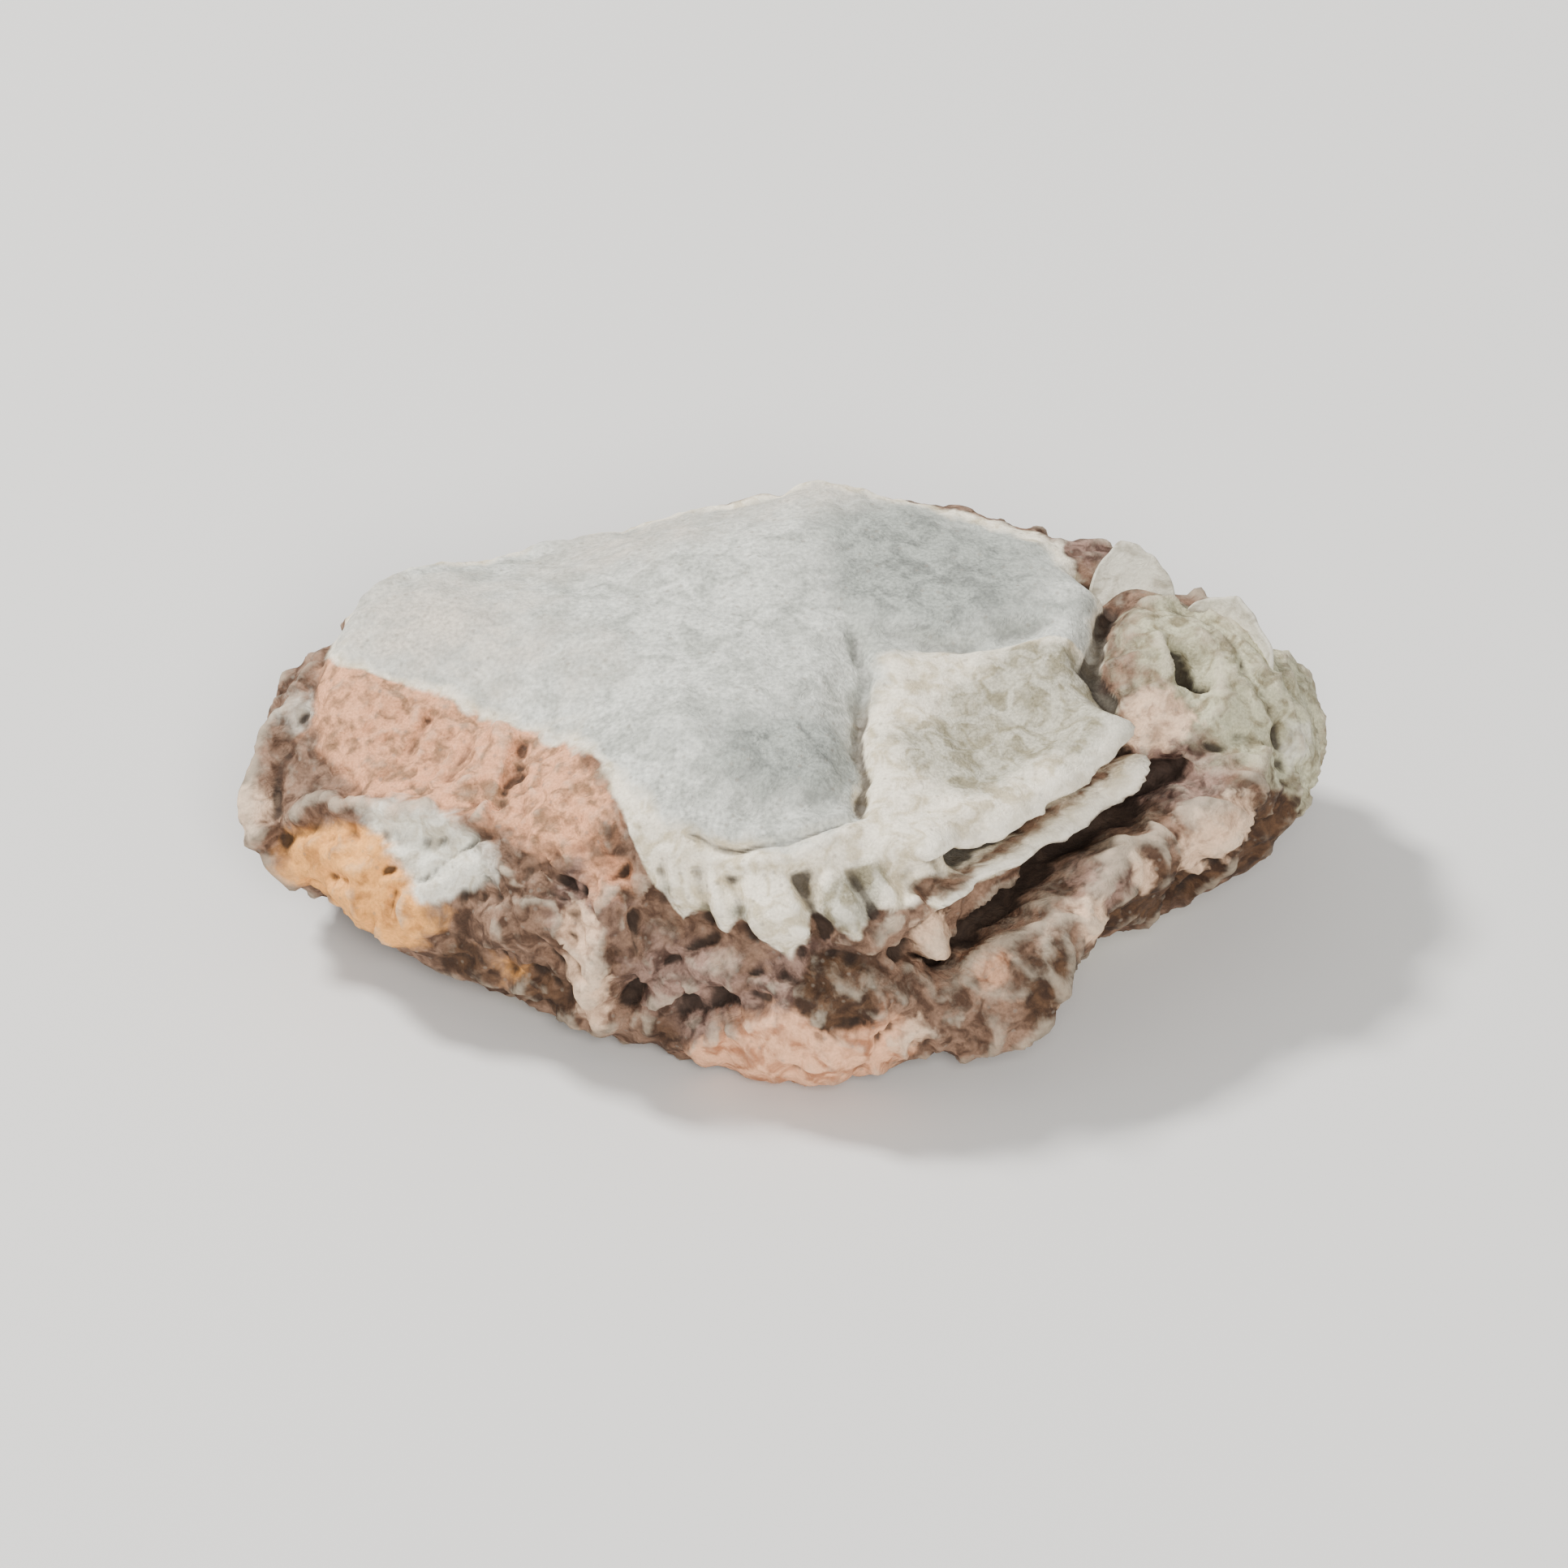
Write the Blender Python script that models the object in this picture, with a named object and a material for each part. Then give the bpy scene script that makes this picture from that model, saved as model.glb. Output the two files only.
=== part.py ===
"""A dried slice of zedoary rhizome, lying on its lower cut face.

The rhizome was cut across twice, a little aslant, and dried. Its starchy core stayed nearly
flat, and the rind round it shrank into folds, lobes and crevices. It is one solid.

X runs along the slice, Y towards its back and Z up. The origin is on the surface that the
slice lies on, under the middle of its outline. Places on the slice are given as an angle
in degrees round it, from +X towards +Y, and a station: 0 at the middle of the upper cut
face, about 0.35 at that face's edge, 0.56 at the widest part of the rind, and 1 at the
middle of the lower face. Lengths are in millimetres until the mesh is written in metres.
"""

import math
from dataclasses import dataclass

import bmesh
import bpy
import numpy as np
from mathutils import Vector, noise

MM = 0.001

LENGTH = 32.0
WIDTH = 21.2
THICKNESS = 9.6

# Stations where the upper grid ends, where the lower one begins, and of the flat spot's edge.
FACE_EDGE = 0.33
BASE_EDGE = 0.71
FLAT_SPOT = 0.84
# Outside the flat spot the underside stays at least this high.
LEAST_CLEARANCE = 0.12
# How much higher than the middle the left and the right end of the lower rind are.
END_LIFTS = (0.4, 1.7)

CELLS_ALONG = 42
CELLS_ACROSS = 28
ROWS_DOWN_RIND = 25
# 0 spaces the rows evenly, and more packs them closer near the face.
ROWS_PACKED_UP = 0.35

# Low swells over the whole slice.
SWELL_SIZE = 4.2
SWELL_HEIGHT = 0.55

# The rind's wrinkles. A slant below 1 draws them out up and down the rind.
WRINKLE_SIZE = 2.5
WRINKLE_HEIGHT = 0.95
WRINKLE_LEVEL = 0.35
WRINKLE_FLOOR = -0.45
WRINKLE_SLANT = 0.55
WRINKLE_WANDER = 1.3
WANDER_SIZE = 3.2
CREST_ROUNDING = 0.10


@dataclass(frozen=True)
class Ring:
    """One closed outline of the slice: its station, its middle, its share of each size,
    how much of the outline's bulges it takes, and how much its two ends are lifted."""

    station: float
    middle: tuple
    along: float
    across: float
    up: float
    bulging: float = 0.0
    lifted: float = 0.0


RINGS = (
    Ring(0.00, (-1.5, 1.0), 0.000, 0.00, 1.000),
    Ring(0.18, (-1.5, 1.0), 0.420, 0.52, 0.985),
    Ring(0.33, (-1.5, 0.9), 0.735, 0.84, 0.900, bulging=0.4),
    Ring(0.38, (-1.2, 0.7), 0.815, 0.92, 0.815, bulging=0.6),
    Ring(0.46, (-0.6, 0.3), 0.915, 0.98, 0.640, bulging=0.9),
    Ring(0.56, (0.0, 0.0), 0.985, 1.00, 0.400, bulging=1.0, lifted=0.3),
    Ring(0.66, (0.0, 0.0), 0.925, 0.94, 0.140, bulging=1.1, lifted=0.9),
    Ring(0.71, (0.0, 0.0), 0.830, 0.85, 0.040, bulging=1.0, lifted=0.8),
    Ring(0.84, (0.0, 0.0), 0.470, 0.52, 0.000),
    Ring(1.00, (0.0, 0.0), 0.000, 0.00, 0.000),
)

# Where the outline stands out from an oval or draws in: angle, spread in degrees, share.
OUTLINE_BULGES = (
    (218, 18, -0.05),
    (275, 16, 0.10),
    (322, 20, -0.15),
    (28, 18, 0.05),
    (62, 12, -0.04),
    (78, 9, 0.06),
    (106, 14, -0.07),
    (130, 20, -0.06),
    (185, 16, 0.02),
)


@dataclass(frozen=True)
class Lump:
    """A round swelling, or a hollow where its height is negative."""

    angle: float
    station: float
    radius: float
    height: float


# These move the surface straight up or down, and all else moves it in and out.
SAGS = {
    "left_bevel": Lump(213, 0.33, 4.8, -2.1),
    "facet_sink": Lump(322, 0.26, 3.6, -0.9),
    "back_left_slope": Lump(121, 0.34, 4.8, -1.35),
}

LUMPS = {
    "ochre_heel": Lump(212, 0.52, 2.0, 0.80),
    "pale_hollow": Lump(227, 0.43, 1.5, -0.80),
    "brown_hollow": Lump(244, 0.56, 1.7, -0.65),
    "front_lobe": Lump(262, 0.22, 3.4, 0.45),
    "amber_chin": Lump(272, 0.62, 1.9, 0.85),
    "end_knob": Lump(2, 0.415, 3.3, 1.20),
    "knob_pit": Lump(357, 0.375, 0.62, -0.95),
    "back_flap": Lump(38, 0.38, 1.5, 0.45),
    "back_dimple": Lump(97, 0.47, 2.4, -0.70),
    "back_lobe": Lump(70, 0.52, 2.4, 0.55),
    "root_scar": Lump(136, 0.50, 1.0, -0.70),
    "left_lobe": Lump(165, 0.50, 2.2, 0.45),
}


@dataclass(frozen=True)
class Stroke:
    """A ridge drawn through places on the slice, or a crease where its height is negative."""

    places: tuple
    width: float
    height: float


STROKES = {
    "facet_crease": Stroke(((4, 0.09), (306, 0.157), (290, 0.28), (287, 0.34)), 0.75, -0.60),
    "cross_crease": Stroke(((4, 0.10), (352, 0.14), (358, 0.21), (8, 0.27)), 0.65, -0.40),
    "lobe_foot": Stroke(((286, 0.31), (278, 0.315), (268, 0.32)), 0.55, -0.40),
    "lip": Stroke(
        ((342, 0.345), (322, 0.354), (310, 0.363), (296, 0.373), (286, 0.378)), 0.62, 0.68
    ),
    "lip_gap": Stroke(((343, 0.38), (322, 0.39), (308, 0.40), (294, 0.41)), 0.60, -0.80),
    "rim_crevice": Stroke(
        ((342, 0.43), (332, 0.44), (318, 0.455), (305, 0.465), (293, 0.49), (284, 0.55)),
        0.75,
        -1.80,
    ),
    "rim_fold": Stroke(
        ((352, 0.49), (337, 0.51), (315, 0.505), (302, 0.545), (294, 0.60), (285, 0.65)),
        1.20,
        1.20,
    ),
    "knob_gully": Stroke(
        ((32, 0.335), (18, 0.335), (6, 0.305), (354, 0.30), (345, 0.335), (336, 0.40)), 0.70, -0.85
    ),
    "left_slit": Stroke(((224, 0.25), (230, 0.32), (237, 0.40)), 0.60, -0.35),
    "left_crest": Stroke(((212, 0.21), (217, 0.27), (223, 0.35)), 0.65, 0.45),
    "heel_arc": Stroke(((196, 0.50), (201, 0.43), (210, 0.375), (222, 0.355)), 0.60, 0.50),
    "end_rim": Stroke(((176, 0.43), (184, 0.47), (191, 0.53), (200, 0.59)), 0.70, 0.45),
    "front_rib": Stroke(((250, 0.43), (249, 0.52), (247, 0.65)), 0.65, 0.60),
    "foot_crease": Stroke(((232, 0.57), (244, 0.62), (256, 0.60), (264, 0.55)), 0.60, -0.55),
    "purple_crease": Stroke(((256, 0.46), (266, 0.49), (277, 0.49), (287, 0.52)), 0.60, -0.80),
    "back_flap_edge": Stroke(((34, 0.37), (42, 0.40), (52, 0.40), (62, 0.37)), 0.60, 0.45),
    "back_flap_gap": Stroke(((30, 0.43), (40, 0.46), (52, 0.45), (64, 0.41)), 0.60, -0.90),
    "back_crevice": Stroke(((80, 0.42), (100, 0.50), (118, 0.52), (138, 0.44)), 0.65, -0.90),
    "back_fold": Stroke(((84, 0.58), (104, 0.59), (124, 0.60), (150, 0.57)), 1.00, 0.60),
    "left_back_crease": Stroke(((148, 0.40), (158, 0.48), (172, 0.55)), 0.60, -0.70),
}

# The creases that gather the rind under the front of the face: angle, foot, depth.
PLEATS = (
    (257.6, 0.46, 0.35),
    (262.4, 0.48, 0.40),
    (266.8, 0.49, 0.60),
    (275.6, 0.48, 1.00),
    (281.8, 0.46, 0.45),
)
PLEAT_TOP = 0.375
PLEAT_WIDTH = 0.42
# Where the rind is nearly free of its other wrinkles.
CALM = {
    "pleats": Lump(268, 0.41, 3.4, 1.0),
    "end_knob": Lump(2, 0.43, 3.4, 0.85),
    "heel": Lump(210, 0.48, 3.2, 0.80),
    "left_end": Lump(186, 0.46, 3.2, 0.90),
    "chin": Lump(272, 0.62, 2.4, 0.70),
    "lips": Lump(320, 0.42, 3.2, 0.75),
    "lip_end": Lump(300, 0.43, 2.4, 0.55),
}


def fade(value, start, end):
    """0 before start and 1 past end, and a smooth step between them."""
    share = np.clip((value - start) / (end - start), 0.0, 1.0)
    return share * share * (3.0 - 2.0 * share)


def outline_share(angles):
    """How far out the slice's outline is at these angles, as a share of a plain oval."""
    share = np.ones_like(angles)
    for middle, spread, height in OUTLINE_BULGES:
        turn = np.degrees(np.angle(np.exp(1j * (angles - math.radians(middle)))))
        share += height * np.exp(-((turn / spread) ** 2))
    return share


def ring_points(ring, angles):
    """The ring's points at these angles."""
    out = 1.0 + ring.bulging * (outline_share(angles) - 1.0)
    x = ring.middle[0] + ring.along * LENGTH / 2 * np.cos(angles) * out
    y = ring.middle[1] + ring.across * WIDTH / 2 * np.sin(angles) * out
    lift = np.where(np.cos(angles) < 0, *END_LIFTS) * np.cos(angles) ** 2
    z = ring.up * THICKNESS + ring.lifted * lift
    return np.stack([x, y, z], axis=-1)


def plain_slice(angles, stations):
    """Points on the slice before its creases: a smooth surface through the rings, in order."""
    places = np.array([ring.station for ring in RINGS])
    rows = [ring_points(ring, angles) for ring in RINGS]
    # Past either pole the surface goes on down the opposite side, so it is smooth there too.
    beyond = angles + math.pi
    rows = [ring_points(RINGS[1], beyond), *rows, ring_points(RINGS[-2], beyond)]
    places = np.concatenate([[-places[1]], places, [2 - places[-2]]])
    slopes = [
        (after - before) / (places[i + 2] - places[i])
        for i, (before, after) in enumerate(zip(rows, rows[2:]))
    ]
    points = np.zeros(angles.shape + (3,))
    for i, (low, high) in enumerate(zip(rows[1:-2], rows[2:-1])):
        span = places[i + 2] - places[i + 1]
        share = ((stations - places[i + 1]) / span)[..., None]
        here = (share >= 0) & (share <= 1)
        run = (
            (1 + 2 * share) * (1 - share) ** 2 * low
            + share * (1 - share) ** 2 * span * slopes[i]
            + share**2 * (3 - 2 * share) * high
            + share**2 * (share - 1) * span * slopes[i + 1]
        )
        points = np.where(here, run, points)
    return points


def place(angle, station):
    """The point of the plain slice at one place."""
    return plain_slice(np.array([math.radians(angle)]), np.array([station]))[0]


def lump_heights(points, lump):
    """How far a lump lifts each point."""
    away = np.linalg.norm(points - place(lump.angle, lump.station), axis=1)
    return lump.height * np.exp(-((away / lump.radius) ** 2))


def stroke_heights(points, stroke):
    """How far a stroke lifts each point, with its two ends run out."""
    knots = [place(angle, station) for angle, station in stroke.places]
    lengths = [np.linalg.norm(b - a) for a, b in zip(knots, knots[1:])]
    total = sum(lengths)
    nearest = np.full(len(points), np.inf)
    reach = np.zeros(len(points))
    for i, (start, end) in enumerate(zip(knots, knots[1:])):
        run = end - start
        share = np.clip((points - start) @ run / (run @ run), 0.0, 1.0)
        away = np.linalg.norm(points - start - share[:, None] * run, axis=1)
        closer = away < nearest
        nearest = np.where(closer, away, nearest)
        reach = np.where(closer, sum(lengths[:i]) + share * lengths[i], reach)
    ends = fade(np.minimum(reach, total - reach), -0.6 * stroke.width, 1.6 * stroke.width)
    return stroke.height * ends * np.exp(-((nearest / stroke.width) ** 2))


def pleats():
    """The short upright creases under the front of the face, as strokes."""
    for angle, foot, depth in PLEATS:
        yield Stroke(((angle, PLEAT_TOP), (angle, foot)), PLEAT_WIDTH, -depth)


def noise_at(point, size, shift):
    """Smooth noise from -1 to 1 that varies over a length of about size."""
    return noise.noise(Vector(point) / size + Vector((shift, 2.3 * shift, -1.7 * shift)))


def crests_at(point, size, shift):
    """Rounded crests where smooth noise passes through zero, from about -1 up to nearly 1."""
    return 1.0 - 2.4 * math.hypot(noise_at(point, size, shift), CREST_ROUNDING)


def wrinkle(point):
    """The height of the rind's wrinkles at a point, up to nearly 1 on a crest."""
    shifts = (3.1, 7.7, 11.9)
    wander = [WRINKLE_WANDER * noise_at(point, WANDER_SIZE, shift) for shift in shifts]
    x, y, z = (a + b for a, b in zip(point, wander))
    stretched = (x, y, WRINKLE_SLANT * z)
    coarse = crests_at(stretched, WRINKLE_SIZE, 19.0)
    fine = crests_at(stretched, WRINKLE_SIZE / 2, 27.0)
    return max(0.8 * coarse + 0.2 * fine, WRINKLE_FLOOR)


def carve(points, normals, stations):
    """Moves the plain slice's points to the dried slice's surface."""
    lifts = sum(lump_heights(points, lump) for lump in LUMPS.values())
    lifts += sum(stroke_heights(points, stroke) for stroke in STROKES.values())
    lifts += sum(stroke_heights(points, pleat) for pleat in pleats())
    rind = fade(stations, FACE_EDGE + 0.02, FACE_EDGE + 0.10)
    swells = np.array([noise_at(point, SWELL_SIZE, 0.0) for point in points])
    crests = np.array([wrinkle(point) for point in points])
    calm = sum(lump_heights(points, lump) for lump in CALM.values())
    wrinkled = rind * (1.0 - np.minimum(calm, 1.0))
    lifts += SWELL_HEIGHT * (0.5 + rind) * swells
    lifts += WRINKLE_HEIGHT * wrinkled * (crests - WRINKLE_LEVEL)
    lifts *= 1.0 - fade(stations, BASE_EDGE - 0.08, FLAT_SPOT - 0.04)
    carved = points + normals * lifts[:, None]
    carved[:, 2] += sum(lump_heights(points, sag) for sag in SAGS.values())
    # The slice touches its surface on the flat spot alone.
    floor = LEAST_CLEARANCE * (1.0 - fade(stations, BASE_EDGE, FLAT_SPOT))
    carved[:, 2] = np.where(stations > 0.5, np.maximum(carved[:, 2], floor), carved[:, 2])
    return carved


def fit_to_size(points):
    """Stretches the points to the driving sizes, over the origin and down to Z = 0."""
    low, high = points.min(axis=0), points.max(axis=0)
    base = np.array([(low[0] + high[0]) / 2, (low[1] + high[1]) / 2, low[2]])
    return (points - base) * np.array([LENGTH, WIDTH, THICKNESS]) / (high - low)


def divide(mesh, axis, cuts):
    """Cuts every edge that runs along this axis of the block."""
    along = [
        edge
        for edge in mesh.edges
        if abs((edge.verts[0].co - edge.verts[1].co).normalized()[axis]) > 0.99
    ]
    bmesh.ops.subdivide_edges(mesh, edges=along, cuts=cuts)


def grid_block():
    """A block of even faces: one square grid above, one below, and rows down the sides."""
    mesh = bmesh.new()
    bmesh.ops.create_cube(mesh, size=2.0)
    divide(mesh, 2, ROWS_DOWN_RIND - 1)
    divide(mesh, 0, CELLS_ALONG - 1)
    divide(mesh, 1, CELLS_ACROSS - 1)
    return mesh


def angles_and_stations(block):
    """Where each of the block's points goes on the slice: its squares drawn out to rounds."""
    x, y, z = np.array([vert.co for vert in block.verts], float).T
    across = x * np.sqrt(1.0 - y * y / 2)
    along = y * np.sqrt(1.0 - x * x / 2)
    out = np.minimum(np.hypot(across, along), 1.0)
    down = (1.0 - z) / 2
    down = (1.0 - ROWS_PACKED_UP) * down + ROWS_PACKED_UP * down**2
    side = FACE_EDGE + down * (BASE_EDGE - FACE_EDGE)
    above = FACE_EDGE * out
    below = 1.0 - (1.0 - BASE_EDGE) * out
    stations = np.where(z > 0.9999, above, np.where(z < -0.9999, below, side))
    return np.arctan2(along, across), stations


def set_points(mesh, points):
    """Moves the mesh's points, and works out its normals again."""
    for vert, point in zip(mesh.verts, points):
        vert.co = point
    mesh.normal_update()


def rhizome_material():
    """The dusty dried rind and cut face, as one plain colour."""
    material = bpy.data.materials.new("dried_rhizome")
    material.use_nodes = True
    surface = material.node_tree.nodes["Principled BSDF"]
    surface.inputs["Base Color"].default_value = (0.50, 0.44, 0.36, 1.0)
    surface.inputs["Roughness"].default_value = 0.85
    surface.inputs["Metallic"].default_value = 0.0
    return material


def clear_scene():
    """Removes the objects that are there before."""
    for old in list(bpy.data.objects):
        bpy.data.objects.remove(old)


def make_slice():
    """Adds the slice to the scene and returns its object."""
    block = grid_block()
    angles, stations = angles_and_stations(block)
    plain = plain_slice(angles, stations)
    set_points(block, plain)
    normals = np.array([vert.normal for vert in block.verts], float)
    set_points(block, fit_to_size(carve(plain, normals, stations)) * MM)
    mesh = bpy.data.meshes.new("zedoary_slice")
    block.to_mesh(mesh)
    block.free()
    mesh.materials.append(rhizome_material())
    mesh.shade_smooth()
    piece = bpy.data.objects.new("zedoary_slice", mesh)
    bpy.context.scene.collection.objects.link(piece)
    return piece


clear_scene()
make_slice()
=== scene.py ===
"""A dried slice of zedoary rhizome, lying on a pale floor in soft light.

The slice lies on its lower cut face. X runs along it, Y towards its back and Z up, in
metres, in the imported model's frame. Places on the slice are given as an angle in degrees
round it, from +X towards +Y, and a station: 0 at the middle of the upper cut face, about
0.35 at that face's edge, 0.56 at the widest part of the rind, and 1 at the middle of the
lower cut face. The form is worked out in millimetres and brought to metres at the end.
"""

from __future__ import annotations

import logging
import math
from dataclasses import dataclass, field
from enum import Enum
from typing import Iterable

import bmesh
import bpy
import numpy as np
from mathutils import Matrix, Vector, noise


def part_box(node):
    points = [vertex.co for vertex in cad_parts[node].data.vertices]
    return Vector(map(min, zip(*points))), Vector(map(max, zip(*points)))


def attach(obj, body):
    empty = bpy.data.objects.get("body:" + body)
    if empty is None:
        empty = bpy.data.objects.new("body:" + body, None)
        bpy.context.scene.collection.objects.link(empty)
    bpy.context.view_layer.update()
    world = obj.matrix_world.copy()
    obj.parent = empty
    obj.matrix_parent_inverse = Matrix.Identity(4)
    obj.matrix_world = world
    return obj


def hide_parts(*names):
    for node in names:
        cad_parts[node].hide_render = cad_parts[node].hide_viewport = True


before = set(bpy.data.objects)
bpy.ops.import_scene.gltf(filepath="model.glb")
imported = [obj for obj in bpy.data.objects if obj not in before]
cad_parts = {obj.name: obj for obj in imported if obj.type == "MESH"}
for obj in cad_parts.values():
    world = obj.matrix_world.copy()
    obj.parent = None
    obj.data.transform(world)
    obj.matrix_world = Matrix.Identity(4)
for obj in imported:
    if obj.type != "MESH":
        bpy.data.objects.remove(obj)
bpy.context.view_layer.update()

log = logging.getLogger("zedoary")

MM = 0.001
CAD_NODE = "zedoary_slice"

# How a shift moves to another part of the noise, along X, Y and Z.
NOISE_WAY = np.array([1.0, 2.3, -1.7])
# How steeply a wrinkle falls away from its crest.
CREST_FALL = 2.4
# Where a stroke starts and ends to fade in at its ends, in its own widths.
STROKE_ENDS = (-0.6, 1.6)

Place = tuple[float, float]


def fade(value: np.ndarray, start: float, end: float) -> np.ndarray:
    """Smooth step over an array.

    Args:
        value: The numbers to judge.
        start: Where the step begins, with 0 before it.
        end: Where the step is over, with 1 past it.

    Returns:
        A share from 0 to 1 for each number.
    """
    share = np.clip((value - start) / (end - start), 0.0, 1.0)
    return share * share * (3.0 - 2.0 * share)


def noise_field(points: np.ndarray, size: float, shift: float) -> np.ndarray:
    """Smooth noise at many points.

    Args:
        points: One row of X, Y and Z for each point, in millimetres.
        size: The length over which the noise varies, in millimetres.
        shift: Moves to another part of the noise, so that two fields differ.

    Returns:
        A number from about -1 to 1 for each point.
    """
    moved = points / size + shift * NOISE_WAY
    return np.array([noise.noise(Vector(row)) for row in moved])


@dataclass(frozen=True)
class Ring:
    """One closed outline of the plain slice.

    Its station, its middle, its share of each size, how much of the outline's bulges it
    takes, and how much its two ends are lifted.
    """

    station: float
    middle: tuple[float, float]
    along: float
    across: float
    up: float
    bulging: float = 0.0
    lifted: float = 0.0


@dataclass(frozen=True)
class Lump:
    """A round swelling at a place, or a hollow where its height is negative."""

    angle: float
    station: float
    radius: float
    height: float = 1.0


@dataclass(frozen=True)
class Stroke:
    """A ridge drawn through places on the slice, or a crease where its height is negative.

    Outwards says how much of the height also pushes level and away from the middle, which
    makes a thin edge overhang.
    """

    places: tuple[Place, ...]
    width: float
    height: float
    outwards: float = 0.0


@dataclass(frozen=True)
class Bulge:
    """Where the outline stands out from an oval, or draws in: angle, spread and share."""

    angle: float
    spread: float
    share: float


class Region(Enum):
    """The parts of the surface that are coloured apart, by the name of their mask."""

    STARCH = "starch"
    CORTEX = "cortex"
    RUST = "rust_skin"
    OCHRE = "ochre_skin"
    PALE = "pale_skin"
    AMBER = "amber_skin"
    KNOB = "knob_skin"
    PLUM = "plum_skin"
    UMBER_AND_SHADE = "umber_skin_and_shade"
    BUFF = "buff_skin"
    FACET = "facet"
    WARM = "warm_starch"
    GREY = "grey_starch"
    # Its mask carries pale dust, and pale wear with a painted highlight.
    CREST = "crest"
    # Its mask marks where the mesh sinks in, and the material paints shade there.
    CREVICE = "crevice"


@dataclass(frozen=True)
class Wrinkles:
    """One layer of wrinkles or of smooth unevenness.

    Its size, its height and which part of the noise it takes. A slant below 1 draws it out
    upwards.
    """

    size: float
    height: float
    shift: float
    slant: float = 1.0

    def noise(self, points: np.ndarray) -> np.ndarray:
        """The layer's smooth noise at each point, from about -1 to 1."""
        return noise_field(points, self.size, self.shift)


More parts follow.
